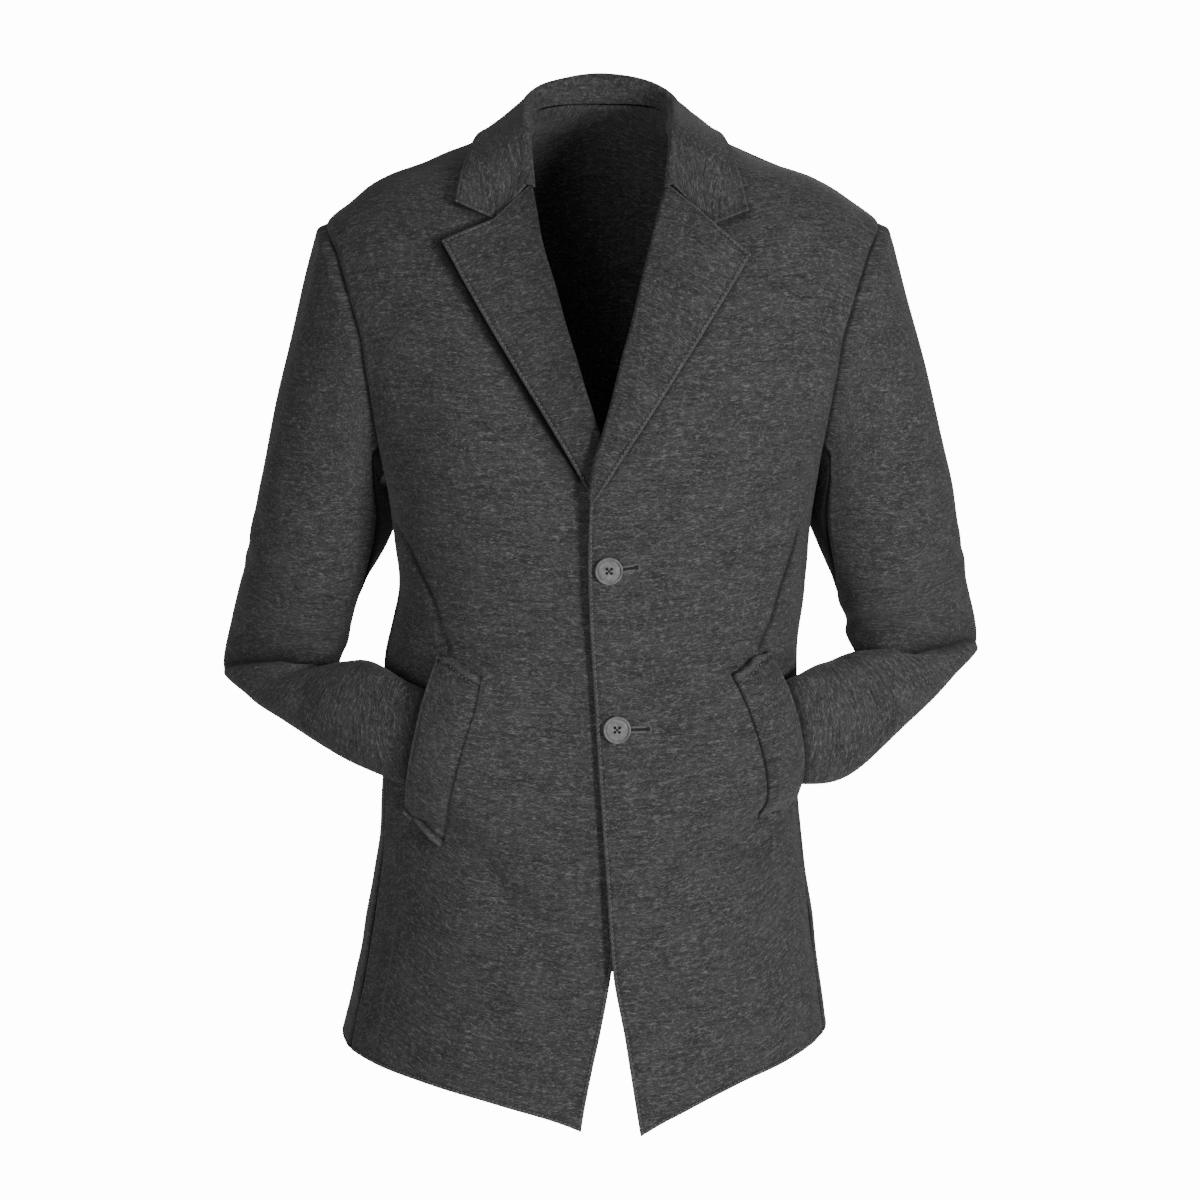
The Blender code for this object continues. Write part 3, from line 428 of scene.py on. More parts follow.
def placeStitch(shape, spot, along, aside, outward, size):
    matrix = Matrix.Identity(4)
    matrix.col[0] = (*(along * size["length"] / 2), 0.0)
    matrix.col[1] = (*(aside * size["width"] / 2), 0.0)
    matrix.col[2] = (*(outward * size["height"] / 2), 0.0)
    matrix.col[3] = (*spot, 1.0)
    bmesh.ops.create_uvsphere(shape, u_segments=6, v_segments=4, radius=1.0, matrix=matrix)


# Body surface

bodyCuts = SizeTable(  # level cuts through the worn body
    ("height", "right", "left", "front", "back", "frontSquare", "backSquare"),
    (
        (0.030, 0.050, 0.050, 0.030, 0.052, 2.00, 2.00), (0.012, 0.058, 0.058, 0.042, 0.064, 2.00, 2.00),
        (0.000, 0.064, 0.064, 0.050, 0.072, 2.05, 2.05), (-0.015, 0.102, 0.101, 0.060, 0.082, 2.10, 2.10),
        (-0.031, 0.142, 0.136, 0.069, 0.091, 2.15, 2.15), (-0.0475, 0.184, 0.181, 0.078, 0.099, 2.20, 2.20),
        (-0.0625, 0.2045, 0.206, 0.086, 0.106, 2.20, 2.25), (-0.0835, 0.228, 0.233, 0.096, 0.113, 2.25, 2.30),
        (-0.0980, 0.2325, 0.2375, 0.103, 0.117, 2.27, 2.35),
        (-0.120, 0.2345, 0.2395, 0.112, 0.122, 2.30, 2.40),
        (-0.170, 0.225, 0.229, 0.127, 0.129, 2.30, 2.40), (-0.220, 0.208, 0.211, 0.135, 0.130, 2.30, 2.40),
        (-0.300, 0.1825, 0.1848, 0.139, 0.124, 2.30, 2.40),
        (-0.345, 0.1757, 0.1785, 0.1385, 0.118, 2.30, 2.35),
        (-0.389, 0.172, 0.1755, 0.138, 0.113, 2.25, 2.30), (-0.459, 0.186, 0.169, 0.141, 0.113, 2.15, 2.25),
        (-0.584, 0.190, 0.173, 0.150, 0.128, 2.05, 2.20), (-0.693, 0.206, 0.187, 0.158, 0.139, 1.95, 2.15),
        (-0.811, 0.231, 0.203, 0.166, 0.148, 1.85, 2.10), (-0.850, 0.239, 0.208, 0.169, 0.150, 1.85, 2.10),
    ),
)
sideSeam = SizeTable(
    ("height", "right", "left"),
    ((-0.850, 73, 79), (-0.560, 77, 81), (-0.400, 82, 83), (-0.295, 85, 85)),
)
armhole = SizeTable(
    ("height", "front", "back"),
    (
        (-0.295, 85, 85), (-0.290, 82, 91), (-0.275, 77, 98), (-0.250, 71, 106), (-0.210, 64, 114),
        (-0.170, 60, 117), (-0.130, 62, 114), (-0.107, 67, 108), (-0.092, 76, 100), (-0.0835, 90, 90),
    ),
)
frontEdge = SizeTable(
    ("height", "left", "right"),
    (
        (-0.850, 0.0375, -0.0190), (-0.828, 0.0335, -0.0166), (-0.780, 0.0260, -0.0075),
        (-0.747, 0.0208, 0.0000),
        (-0.690, 0.0107, 0.0107), (-0.611, 0.0050, 0.0205), (-0.486, -0.0033, 0.0270),
        (-0.346, -0.0098, 0.0250),
        (-0.2965, -0.0080, 0.0120), (-0.2475, 0.0050, -0.0035), (-0.1918, 0.0198, -0.0214),
        (-0.1400, 0.0332, -0.0365), (-0.0900, 0.0453, -0.0507), (-0.048, 0.0574, -0.0586),
    ),
)
underlap = SizeTable(
    ("height", "depth"),
    ((-0.850, 0.016), (-0.690, 0.010), (-0.500, 0.007), (-0.370, 0.009), (-0.280, 0.0155),
     (-0.220, 0.0130), (-0.140, 0.004), (-0.080, 0.0)),
)
bodyZones = {  # levels at each mark from the hem up, and the rows of the solids between marks
    "outer": (None, -0.572, -0.437, -0.295, -0.276, -0.108, -0.0835, 0.0),
    "frontEdge": (-0.831, -0.572, -0.437, -0.2965, -0.274, -0.150, -0.128, -0.048),
    "centreBack": (-0.788, -0.565, -0.435, -0.295, -0.276, -0.115, -0.090, 0.012),
    "rise": (0.0, 0.0, 0.0, 0.0, 0.0, 0.012, 0.023, 0.0),
    "rows": (7, 6, 4, 2, 5, 2, 5), "hemLength": 0.22,  # from the hem to the first mark
}
zoneRows = np.concatenate([[0], np.cumsum(bodyZones["rows"])]) / sum(bodyZones["rows"])


def bodyRows(rowsPerMark):  # shares from the hem up, closer together at the hem
    hemSteps = np.array(edgeShape["steps"]) / bodyZones["hemLength"] * zoneRows[1]
    count = sum(bodyZones["rows"]) * rowsPerMark
    shares = np.arange(count + 1) / count
    return np.concatenate([hemSteps, shares[shares > hemSteps[-1] * edgeShape["clear"]]])


def zoneAt(name, side, v):
    marks = [coat["sideHem"][side] if mark is None else mark for mark in bodyZones[name]]
    return np.interp(v, zoneRows, marks)


def bodyPoint(angle, height):
    angle, height = np.broadcast_arrays(np.asarray(angle, float), np.asarray(height, float))
    sine, cosine = np.sin(angle), np.cos(angle)
    half = np.where(sine >= 0, bodyCuts.read("left", height), bodyCuts.read("right", height))
    ahead = cosine >= 0
    depth = np.where(ahead, -bodyCuts.read("front", height), bodyCuts.read("back", height))
    square = np.where(ahead, bodyCuts.read("frontSquare", height), bodyCuts.read("backSquare", height))
    x = np.sign(sine) * half * np.abs(sine) ** (2 / square)
    return np.stack([x, depth * np.abs(cosine) ** (2 / square), height], axis=-1)


def normalOf(surface, angle, height):
    turn, rise = 2e-3, 1e-3
    across = surface(angle + turn, height) - surface(angle - turn, height)
    return unit(np.cross(across, surface(angle, height + rise) - surface(angle, height - rise)))


def angleAt(x, height):
    half = np.where(x >= 0, bodyCuts.read("left", height), bodyCuts.read("right", height))
    share = np.clip(np.abs(x) / half, 0.0, 1.0)
    return np.sign(x) * np.arcsin(share ** (bodyCuts.read("frontSquare", height) / 2))


def outerAngle(side, part, height):  # side seam, armhole edge, then shoulder seam
    seam, hole = sideSeam.read(side, height), armhole.read(part, height)
    angle = np.where(height < coat["underarm"], seam, np.where(height < coat["shoulderPoint"], hole, 90.0))
    return np.radians(angle) - (coat["seamAngle"] if part == "front" else -coat["seamAngle"])


# Lapel outline, along which the fronts get a painted shadow

lapel = {
    "left": {"point": (0.1215, -0.1035), "notch": (0.0925, -0.0793), "gorge": (0.0574, -0.048),
             "foot": 0.005},
    "right": {"point": (0.1263, -0.0945), "notch": (0.0850, -0.0758), "gorge": (0.0586, -0.048),
              "foot": 0.019},
    "rollRadius": 0.0042, "rollGap": 0.0007, "rollShare": 0.4, "rollColumns": 10,
    "flatColumns": 44, "rows": 120,
    "width": 0.075, "length": 0.24,  # rough sizes that the spacing by the edges is set from
    "standoff": {"left": 0.0052, "right": 0.0085}, "standoffRise": 0.4,
    "standoffSpan": {"left": 0.76, "right": 0.64},
    "footRoll": 0.3, "footLength": 0.14,  # the roll is narrower at the foot
    "notchReach": 6, "gorgeGap": 0.0008, "wideFrom": 0.03, "stitchFrom": 0.06, "grainStart": (0.7, 0.4),
    # painted shadow on the front by the lapel's edge and by the collar's end: depth, width
    "paintedLapelShadow": {"left": ((0.40, 0.0030),), "right": ((0.52, 0.0085), (0.60, 0.0034))}, "paintedLapelShadowFrom": 0.08,
    "collarEnd": {"left": ((0.0935, -0.0805), (0.1210, -0.0695)),
                  "right": ((-0.0850, -0.0770), (-0.1180, -0.0620))},
    "collarEndPaintedShadow": (0.55, 0.0034),
    "rollPaintedShade": {"left": 0.06, "right": 0.36}, "rollPaintedShadeWidth": 0.050,
    "cut": {"left": (0.14, 0.26, 0.0147), "right": (0.14, 0.26, 0.0154)},
}


def notchPlace(side):  # the notch's share of the way from the gorge to the point
    gorgeX = lapel[side]["gorge"][0]
    return (lapel[side]["notch"][0] - gorgeX) / (lapel[side]["point"][0] - gorgeX)


def lapelFlat(side, along, share):  # roll line to outer edge, with the top edge bent at the notch
    sign, corners = sides[side], lapel[side]
    topLevel, breakHeight = coat["gorgeHeight"] - lapel["gorgeGap"], coat["breakHeight"]
    level = breakHeight + (topLevel - breakHeight) * along
    rollX = frontEdge.read(side, level)
    footX = frontEdge.read(side, breakHeight) + sign * corners["foot"]
    pointX, pointZ = sign * corners["point"][0], corners["point"][1]
    x = rollX + (footX + (pointX - footX) * along - rollX) * share
    z = level + (breakHeight + (pointZ - breakHeight) * along - level) * share
    notchZ = corners["notch"][1] - lapel["gorgeGap"]
    notchShare = notchPlace(side)
    lean = np.where(share < notchShare, share / notchShare, (1 - share) / (1 - notchShare))
    straightZ = topLevel + (pointZ - topLevel) * notchShare
    return x, z + (notchZ - straightZ) * lean * along ** lapel["notchReach"]


# Fronts

front = {
    "columnsBefore": 74, "columnsBehind": 28, "mouthShare": 9 / 13, "rowsPerMark": 7,
    "widthBefore": 0.165, "widthBehind": 0.062,  # rough sizes that the spacing by the edges is set from
    "mouthBottom": -0.572, "mouthTop": -0.437, "mouthSpill": 0.25, "mouthMargin": 0.03,
    "straightFrom": -0.40, "straightOver": 0.15,  # above the pocket the columns spread evenly again
    "underlapFrom": -0.120, "underlapOver": 0.108,
    "pocket": {
        "right": {"bottomX": -0.159, "topX": -0.132, "swing": -0.20, "front": 0.028, "rear": 0.017},
        "left": {"bottomX": 0.159, "topX": 0.138, "swing": 0.55, "front": 0.026, "rear": 0.017},
    },
    "lipReach": 0.090, "lipRound": 0.6,
    "swells": {  # x, height, slant, half length, half width, rise
        "right": ((-0.092, -0.520, 75, 0.085, 0.045, 0.009), (-0.080, -0.634, -42, 0.060, 0.024, -0.007),
                  (-0.070, -0.395, 20, 0.060, 0.026, -0.004)),
        "left": ((0.108, -0.515, 105, 0.085, 0.042, 0.009), (0.112, -0.595, 30, 0.062, 0.024, -0.007),
                 (0.075, -0.405, -25, 0.060, 0.026, -0.004)),
    },
    "creases": {
        "right": ((-0.060, -0.345, 12, 0.050, 0.012, -0.0016), (-0.045, -0.470, -14, 0.045, 0.014, -0.0014),
                  (-0.150, -0.640, 62, 0.075, 0.022, -0.0030), (-0.105, -0.740, 84, 0.090, 0.030, -0.0035),
                  (-0.155, -0.230, 70, 0.050, 0.016, -0.0020), (-0.088, -0.618, -43, 0.045, 0.010, -0.0036)),
        "left": ((0.055, -0.342, -10, 0.045, 0.012, -0.0016), (0.060, -0.475, 12, 0.045, 0.014, -0.0014),
                 (0.150, -0.655, 118, 0.075, 0.022, -0.0030), (0.110, -0.745, 95, 0.090, 0.030, -0.0035),
                 (0.160, -0.235, 108, 0.050, 0.016, -0.0020), (0.134, -0.574, 43, 0.032, 0.008, -0.0042)),
    },
    "dart": {  # the seam from the armhole to the pocket's top, x and height
        "right": ((-0.1720, -0.335), (-0.1604, -0.3472), (-0.1499, -0.3678), (-0.1421, -0.3815),
                  (-0.1361, -0.3948), (-0.1319, -0.4074), (-0.1250, -0.4277)),
        "left": ((0.1660, -0.3350), (0.1585, -0.3580), (0.1491, -0.3867), (0.1433, -0.4072),
                 (0.1331, -0.4285)),
    },
    "dartDepth": 0.0012, "dartWidth": 0.0022, "dartShade": 0.85,
    "cut": {"left": (0.33, 0.86, 0.182), "right": (0.36, 0.86, 0.192)},
}


def mouthAngle(side, height):
    pocket = front["pocket"][side]
    share = (height - front["mouthBottom"]) / (front["mouthTop"] - front["mouthBottom"])
    spill, margin = front["mouthSpill"], front["mouthMargin"]
    x = pocket["bottomX"] + (pocket["topX"] - pocket["bottomX"]) * np.clip(share, -spill, 1 + spill)
    return np.abs(angleAt(x, np.clip(height, front["mouthBottom"] - margin, front["mouthTop"] + margin)))


def frontPoint(side, angle, height, rearLip=False):  # angle counts from the centre towards the side seam
    sign, pocket = sides[side], front["pocket"][side]
    height = np.asarray(height, float)
    point = bodyPoint(sign * angle, height)
    outward = normalOf(bodyPoint, sign * angle, height)
    rise = creaseRise(front["swells"][side], point[..., 0], height, bow=0.0)
    if side == "right":
        lapped = smoothStep((point[..., 0] - front["underlapFrom"]) / front["underlapOver"])
        rise = rise - underlap.read("depth", height) * lapped
    point = point + outward * rise[..., None]
    mouth, seam = mouthAngle(side, height), np.radians(sideSeam.read(side, height))
    share = np.clip((height - front["mouthBottom"]) / (front["mouthTop"] - front["mouthBottom"]), 0.0, 1.0)
    paintedSlitShade = np.maximum(np.sin(np.pi * share), 0.0) ** front["lipRound"]
    before = np.clip((mouth - angle) * coat["bodyRadius"] / front["lipReach"], 0.0, 1.0)
    behind = np.clip((angle - mouth) / (seam - mouth), 0.0, 1.0)
    forward = pocket["front"] * paintedSlitShade * np.cos(np.pi / 2 * before) ** 2
    inward = pocket["rear"] * paintedSlitShade * np.cos(np.pi / 2 * behind) ** 2
    lipWay = np.array([pocket["swing"], -math.sqrt(1 - pocket["swing"] ** 2), 0.0])
    onRear = np.broadcast_to(np.asarray(rearLip), np.shape(angle))
    return point + np.where(onRear[..., None], -outward * inward[..., None], lipWay * forward[..., None])


def frontAt(side, x, height, lift):  # a place on the front's outer face, moved out by lift
    x, height = np.asarray(x, float), np.asarray(height, float)

    def surface(turn, level):
        return frontPoint(side, sides[side] * turn, level)

    turn = angleAt(x, height)
    outward = normalOf(surface, turn, height)
    return surface(turn, height) + outward * np.asarray(lift)[..., None], outward


def nearPath(path, x, height):  # shortest distance to a line of points
    best = np.full_like(x, 1.0)
    for (startX, startZ), (endX, endZ) in zip(path[:-1], path[1:]):
        wayX, wayZ = endX - startX, endZ - startZ
        share = np.clip(((x - startX) * wayX + (height - startZ) * wayZ) / (wayX ** 2 + wayZ ** 2), 0, 1)
        best = np.minimum(best, np.hypot(x - startX - wayX * share, height - startZ - wayZ * share))
    return best


def frontPlace(side, u, v, rear):
    sign, mouthShare = sides[side], front["mouthShare"]
    outer, inner = zoneAt("outer", side, v), zoneAt("frontEdge", side, v)
    dip = coat["levelDip"]
    height = outer + (inner - outer) * (1 - u) ** dip + zoneAt("rise", side, v) * np.sin(np.pi * u)
    start = sign * angleAt(frontEdge.read(side, inner), inner)
    end = outerAngle(side, "front", outer)
    levelAtMouth = outer + (inner - outer) * (1 - mouthShare) ** dip
    mouth = mouthAngle(side, levelAtMouth)
    above = smoothStep((levelAtMouth - front["straightFrom"]) / front["straightOver"])
    mouth = mouth + (start + (end - start) * mouthShare - mouth) * above
    before = start + (mouth - start) * u / mouthShare
    behind = mouth + (end - mouth) * (u - mouthShare) / (1 - mouthShare)
    past = u > mouthShare + 1e-6
    return frontPoint(side, np.where(past, behind, before), height, rear | past)


def makeFront(side):
    flip = side == "right"
    mouthShare = front["mouthShare"]
    uBefore = sharesAcross(front["columnsBefore"], front["widthBefore"], fineStart=True) * mouthShare
    uBehind = sharesAcross(front["columnsBehind"], front["widthBehind"], fineEnd=True)
    uBehind = mouthShare + (1 - mouthShare) * uBehind
    lapelEdge = np.stack(lapelFlat(side, np.linspace(lapel["paintedLapelShadowFrom"], 1, 24), np.ones(24)), axis=-1)
    vShares = bodyRows(front["rowsPerMark"])
    halves = []
    for shares, rear in ((uBefore, False), (uBehind, True)):
        points, normals, across, up = layOut(shares, vShares, lambda u, v: frontPlace(side, u, v, rear), flip)
        x, z = points[..., 0], points[..., 2]
        rise = creaseRise(front["creases"][side], x, z) + unevenness(x, z)
        toDart = nearPath(front["dart"][side], x, z)
        rise = rise - front["dartDepth"] * bell(toDart, front["dartWidth"]) + turnedEdge(up)
        toLapel, toCollar = nearPath(lapelEdge, x, z), nearPath(lapel["collarEnd"][side], x, z)
        shade = seamAndPaintedShadeLine(toDart, front["dartShade"]) + edgeShade(up)
        # painted shadow of the lapel's edge and of the collar's end on the front
        shade = shade + sum(seamAndPaintedShadeLine(toLapel, *row) for row in lapel["paintedLapelShadow"][side])
        shade = shade + seamAndPaintedShadeLine(toCollar, *lapel["collarEndPaintedShadow"])
        if rear:
            rise = rise + sewnEdge(fromEnd(across))
            shade = shade + seamAndPaintedShadeLine(fromEnd(across))
        else:
            rise = rise + turnedEdge(across)
            shade = shade + edgeShade(across)
        halves.append((points + normals * rise[..., None], normals, shade))
    (before, beforeNormals, beforeShade), (behind, behindNormals, behindShade) = halves
    shade = np.concatenate([beforeShade, behindShade[:, 1:]], axis=1)
    points = np.concatenate([before, behind[:, 1:]], axis=1)
    normals = np.concatenate([beforeNormals, behindNormals[:, 1:]], axis=1)
    rows = [int(np.argmin(np.abs(vShares - mark))) for mark in zoneRows[1:3]]
    across = np.concatenate([runAcross(before), runAcross(before)[:, -1:] + runAcross(behind)[:, 1:]], axis=1)
    up = runUp(points)
    level = int(np.argmin(np.abs(vShares - zoneRows[3])))
    uv = np.stack([across * sides[side], up - up[level:level + 1]], axis=-1)
    slit = {"column": len(uBefore) - 1, "rows": rows, "rear": behind[:, 0]}
    piece = clothPiece("front_" + side + "_cloth", points, uv, flip, coat["cloth"], shade, slit)
    sewing = bmesh.new()
    lapelFoot = vShares < zoneRows[3] - 0.01
    for edge, keep in (("start", lapelFoot), ("bottom", None)):
        sewAlong(sewing, *insetPath(points, normals, edge, stitchSize["inset"], keep))
    stitches = dressSewn(piece, "front_" + side, sewing)


for side in sides:
    makeFront(side)
print("fronts made")

# Back

back = {
    "columns": 120, "rowsPerMark": 6, "width": 0.5, "cut": (0.62, 0.82, 0.43),
    "creaseFrom": -0.01, "creaseOver": 0.05,  # depths where the creases fade out towards the side seams
    "napShift": (1.1, 0.3),
    "creases": (  # x, height, slant, half length, half width, rise
        (0.060, -0.600, 92, 0.170, 0.030, 0.0050), (-0.075, -0.620, 87, 0.160, 0.032, 0.0050),
        (-0.005, -0.560, 90, 0.180, 0.026, -0.0050), (0.125, -0.640, 84, 0.130, 0.024, -0.0040),
        (-0.140, -0.650, 97, 0.130, 0.026, -0.0045), (0.070, -0.330, 35, 0.080, 0.020, -0.0030),
        (-0.080, -0.340, -33, 0.080, 0.020, -0.0030), (0.020, -0.405, 6, 0.090, 0.018, -0.0025),
        (0.120, -0.200, 62, 0.080, 0.024, -0.0030), (-0.125, -0.205, 118, 0.080, 0.024, -0.0030),
    ),
}


def backPlace(u, v):
    left, right = zoneAt("outer", "left", v), zoneAt("outer", "right", v)
    centre = zoneAt("centreBack", "left", v)
    aside = np.abs(2 * u - 1)
    height = centre + (np.where(u < 0.5, left, right) - centre) * aside ** coat["levelDip"]
    height = height + zoneAt("rise", "left", v) * np.sin(np.pi * aside)
    fromLeft, fromRight = outerAngle("left", "back", left), 2 * np.pi - outerAngle("right", "back", right)
    return bodyPoint(fromLeft + (fromRight - fromLeft) * u, height)


def makeBack():
    uShares = sharesAcross(back["columns"], back["width"], fineStart=True, fineEnd=True)
    vShares = bodyRows(back["rowsPerMark"])
    points, normals, across, up = layOut(uShares, vShares, backPlace, False)
    x, z = points[..., 0], points[..., 2]
    onBack = smoothStep((points[..., 1] - back["creaseFrom"]) / back["creaseOver"])
    stretch, shift = back["napShift"]
    rise = creaseRise(back["creases"], x, z) * onBack + unevenness(x * stretch + shift, z)
    rise = rise + turnedEdge(up) + sewnEdge(across) + sewnEdge(fromEnd(across))
    points = points + normals * rise[..., None]
    level = int(np.argmin(np.abs(vShares - zoneRows[3])))
    uv = np.stack([across - across[:, -1:] / 2, up - up[level:level + 1]], axis=-1)
    shade = seamAndPaintedShadeLine(across) + seamAndPaintedShadeLine(fromEnd(across)) + edgeShade(up)
    piece = clothPiece("back_cloth", points, uv, False, coat["cloth"], shade)
    sewing = bmesh.new()
    sewAlong(sewing, *insetPath(points, normals, "bottom", stitchSize["inset"]))
    stitches = dressSewn(piece, "back", sewing)


makeBack()
print("back made")

# Lapels


def lapelPlace(side, u, v):
    arc, radius, half = lapel["rollShare"], lapel["rollRadius"], coat["cloth"] / 2
    share = np.clip((u - arc) / (1 - arc), 0.0, 1.0)
    x, z = lapelFlat(side, v, share)
    standoff = lapel["standoff"][side] * smoothStep(v / lapel["standoffRise"])
    lift = radius - half + standoff * np.sin(np.pi * lapel["standoffSpan"][side] * share)
    laid, _ = frontAt(side, x, z, lift)
    roll, rollOut = frontAt(side, *lapelFlat(side, v, np.zeros_like(v)), np.full_like(v, -half))
    ahead, _ = frontAt(side, *lapelFlat(side, v, np.full_like(v, 0.05)), np.full_like(v, -half))
    turn = np.pi * np.clip(u / arc, 0.0, 1.0)
    narrowed = lapel["footRoll"] + (1 - lapel["footRoll"]) * smoothStep(v / lapel["footLength"])
    rolled = roll - unit(ahead - roll) * (narrowed * (lapel["rollGap"] + radius * np.sin(turn)))[..., None]
    rolled = rolled - rollOut * (radius * np.cos(turn))[..., None]
    return np.where((u < arc - 1e-6)[..., None], rolled, laid)


def makeLapel(side):
    flip = side == "right"
    arc, notchShare = lapel["rollShare"], notchPlace(side)
    flat = sharesAcross(lapel["flatColumns"], lapel["width"], fineEnd=True)
    flat[np.argmin(np.abs(flat - notchShare))] = notchShare
    uShares = np.concatenate([np.linspace(0, arc, lapel["rollColumns"] + 1), arc + (1 - arc) * flat[1:]])
    vShares = sharesAcross(lapel["rows"], lapel["length"], fineEnd=True)
    points, normals, across, up = layOut(uShares, vShares, lambda u, v: lapelPlace(side, u, v), flip)
    fromEdge, fromTop = fromEnd(across), up[-1:] - up
    wide = smoothStep(across[:, -1:] / lapel["wideFrom"])
    rise = turnedEdge(fromEdge) * wide + turnedEdge(fromTop) + unevenness(across, up, 0.00025) * wide
    points = points + normals * rise[..., None]
    uv = np.stack([across * sides[side], up], axis=-1) + lapel["grainStart"]
    shade = (edgeShade(fromEdge, 0.42) + edgeShade(fromTop, 0.35)) * wide
    # painted shade on the lapel, darkest by the roll line
    shade = shade + seamAndPaintedShadeLine(across, lapel["rollPaintedShade"][side], lapel["rollPaintedShadeWidth"])
    piece = clothPiece("lapel_" + side + "_cloth", points, uv, flip, coat["trimCloth"], shade)
    sewing = bmesh.new()
    pastNotch = uShares > arc + (1 - arc) * notchShare
    for edge, keep in (("end", vShares > lapel["stitchFrom"]), ("top", pastNotch)):
        sewAlong(sewing, *insetPath(points, normals, edge, stitchSize["inset"], keep))
    stitches = dressSewn(piece, "lapel_" + side, sewing)


for side in sides:
    makeLapel(side)
print("lapels made")

# Collar


def collarLine(*rows):  # mirrored over the centre back
    otherSide = tuple((-along, -out, y, z) for along, out, y, z in rows if along > 0)
    return SizeTable(("along", "out", "y", "z"), rows + otherSide)


collar = {
    "fold": collarLine(
        (0.00, 0.0000, 0.0640, 0.0335), (0.30, 0.0455, 0.0462, 0.0258), (0.55, 0.0622, 0.0050, 0.0105),
        (0.78, 0.0615, -0.0470, -0.0070), (1.00, 0.0578, -0.0785, -0.0485)),
    "fall": collarLine(
        (0.00, 0.0000, 0.0770, 0.0150), (0.30, 0.0590, 0.0580, 0.0095), (0.55, 0.0815, 0.0050, 0.0015),
        (0.78, 0.0850, -0.0600, -0.0220), (1.00, 0.0885, -0.0862, -0.0765)),
    "edge": collarLine(
        (0.00, 0.0000, 0.0890, -0.0070), (0.30, 0.0720, 0.0690, -0.0098), (0.55, 0.1000, 0.0060, -0.0106),
        (0.78, 0.1120, -0.0600, -0.0340), (1.00, 0.1180, -0.0830, -0.0595)),
    "notchShift": {"left": (0.0030, 0.0, -0.0020), "right": (-0.0045, 0.0, 0.0015)},
    "pointShift": {"left": (0.0030, -0.0010, -0.0080), "right": (0.0, 0.0, -0.0010)},
    "foldRadius": 0.0034, "frontTurn": 0.62, "turnFrom": 0.35, "turnOver": 0.45,
    "neckGap": 0.0012, "neckShoulder": 0.5, "notchStart": 0.7, "wayStep": 0.02,
    # v where the stand and the fold end, and how much of it the fold and the fall each take
    "standEnd": 0.2, "foldEnd": 0.6, "share": 0.4,
    "standRows": 10, "foldRows": 10, "fallRows": 30, "columns": 170, "cut": (0.40, 0.10, 0.0331),
    "length": 0.42, "depth": 0.05,  # rough sizes that the spacing by the edges is set from
    "sewnBelow": 0.84, "grainStart": (1.3, 0.9),
}


def collarPoint(name, along):
    return np.stack([collar[name].read(axis, along) for axis in ("out", "y", "z")], axis=-1)


def neckEdge(side, along):  # centre back (0), over the shoulder seam, to the gorge (1)
    behind = np.clip(along / collar["neckShoulder"], 0.0, 1.0)
    before = np.clip((along - collar["neckShoulder"]) / (1 - collar["neckShoulder"]), 0.0, 1.0)
    gorge = abs(float(angleAt(frontEdge.read(side, coat["gorgeHeight"]), coat["gorgeHeight"])))
    angle = np.pi - np.pi / 2 * behind + (gorge - np.pi / 2) * before
    dip = coat["levelDip"]
    height = coat["nape"] * (1 - behind ** dip) + coat["gorgeHeight"] * before ** dip
    return bodyPoint(sides[side] * angle, height)


def collarPlace(u, v):  # v runs up the stand, over the fold and down the fall
    side = 2 * u - 1
    along = np.abs(side)
    fold, fall, edge = (collarPoint(name, along) for name in ("fold", "fall", "edge"))
    notched = smoothStep((along - collar["notchStart"]) / (1 - collar["notchStart"]))[..., None]
    onLeft = (side >= 0)[..., None]
    fall = fall + notched * np.where(onLeft, collar["notchShift"]["left"], collar["notchShift"]["right"])
    edge = edge + notched * np.where(onLeft, collar["pointShift"]["left"], collar["pointShift"]["right"])
    seam = np.where(onLeft, neckEdge("left", along), neckEdge("right", along))
    seam = np.abs(seam) * [1, 0, 0] + seam * [0, 1, 1] + [0, 0, collar["neckGap"]]
    seam[..., :2] *= 1 - coat["trimCloth"] / np.linalg.norm(seam[..., :2], axis=-1, keepdims=True)
    outward = unit((edge - fold) * [1, 1, 0]) * collar["foldRadius"]
    stand = np.clip(v / collar["standEnd"], 0, 1)[..., None]
    turned = np.clip((v - collar["standEnd"]) / collar["share"], 0, 1)[..., None]
    drop = np.clip((v - collar["foldEnd"]) / collar["share"], 0, 1)[..., None]
    ahead, behind = (collarPoint("fold", along + step) for step in (collar["wayStep"], -collar["wayStep"]))
    bulge = unit(np.cross(unit(outward), unit(ahead - behind)))
    bulge = bulge * np.where(bulge[..., 2:] < 0, -1.0, 1.0) * collar["foldRadius"]
    opened = smoothStep((along - collar["turnFrom"]) / collar["turnOver"])  # the fold turns less far in front
    fullTurn = np.pi * (1 - (1 - collar["frontTurn"]) * opened)[..., None]
    turn = fullTurn * turned
    innerTop, outerTop = fold - outward, fold - outward * np.cos(fullTurn) + bulge * np.sin(fullTurn)
    onStand = seam + (innerTop - seam) * stand
    onFold = fold - outward * np.cos(turn) + bulge * np.sin(turn)
    hang = 2 * fall - (outerTop + edge) / 2
    curved = (1 - drop) ** 2 * outerTop + 2 * drop * (1 - drop) * hang + drop ** 2 * edge
    upper, lower = outerTop + (fall - outerTop) * 2 * drop, fall + (edge - fall) * (2 * drop - 1)
    onFall = curved + (np.where(drop < 0.5, upper, lower) - curved) * notched
    point = np.where(stand < 1, onStand, np.where(drop > 0, onFall, onFold))
    point[..., 0] *= np.where(side >= 0, 1.0, -1.0)
    return point


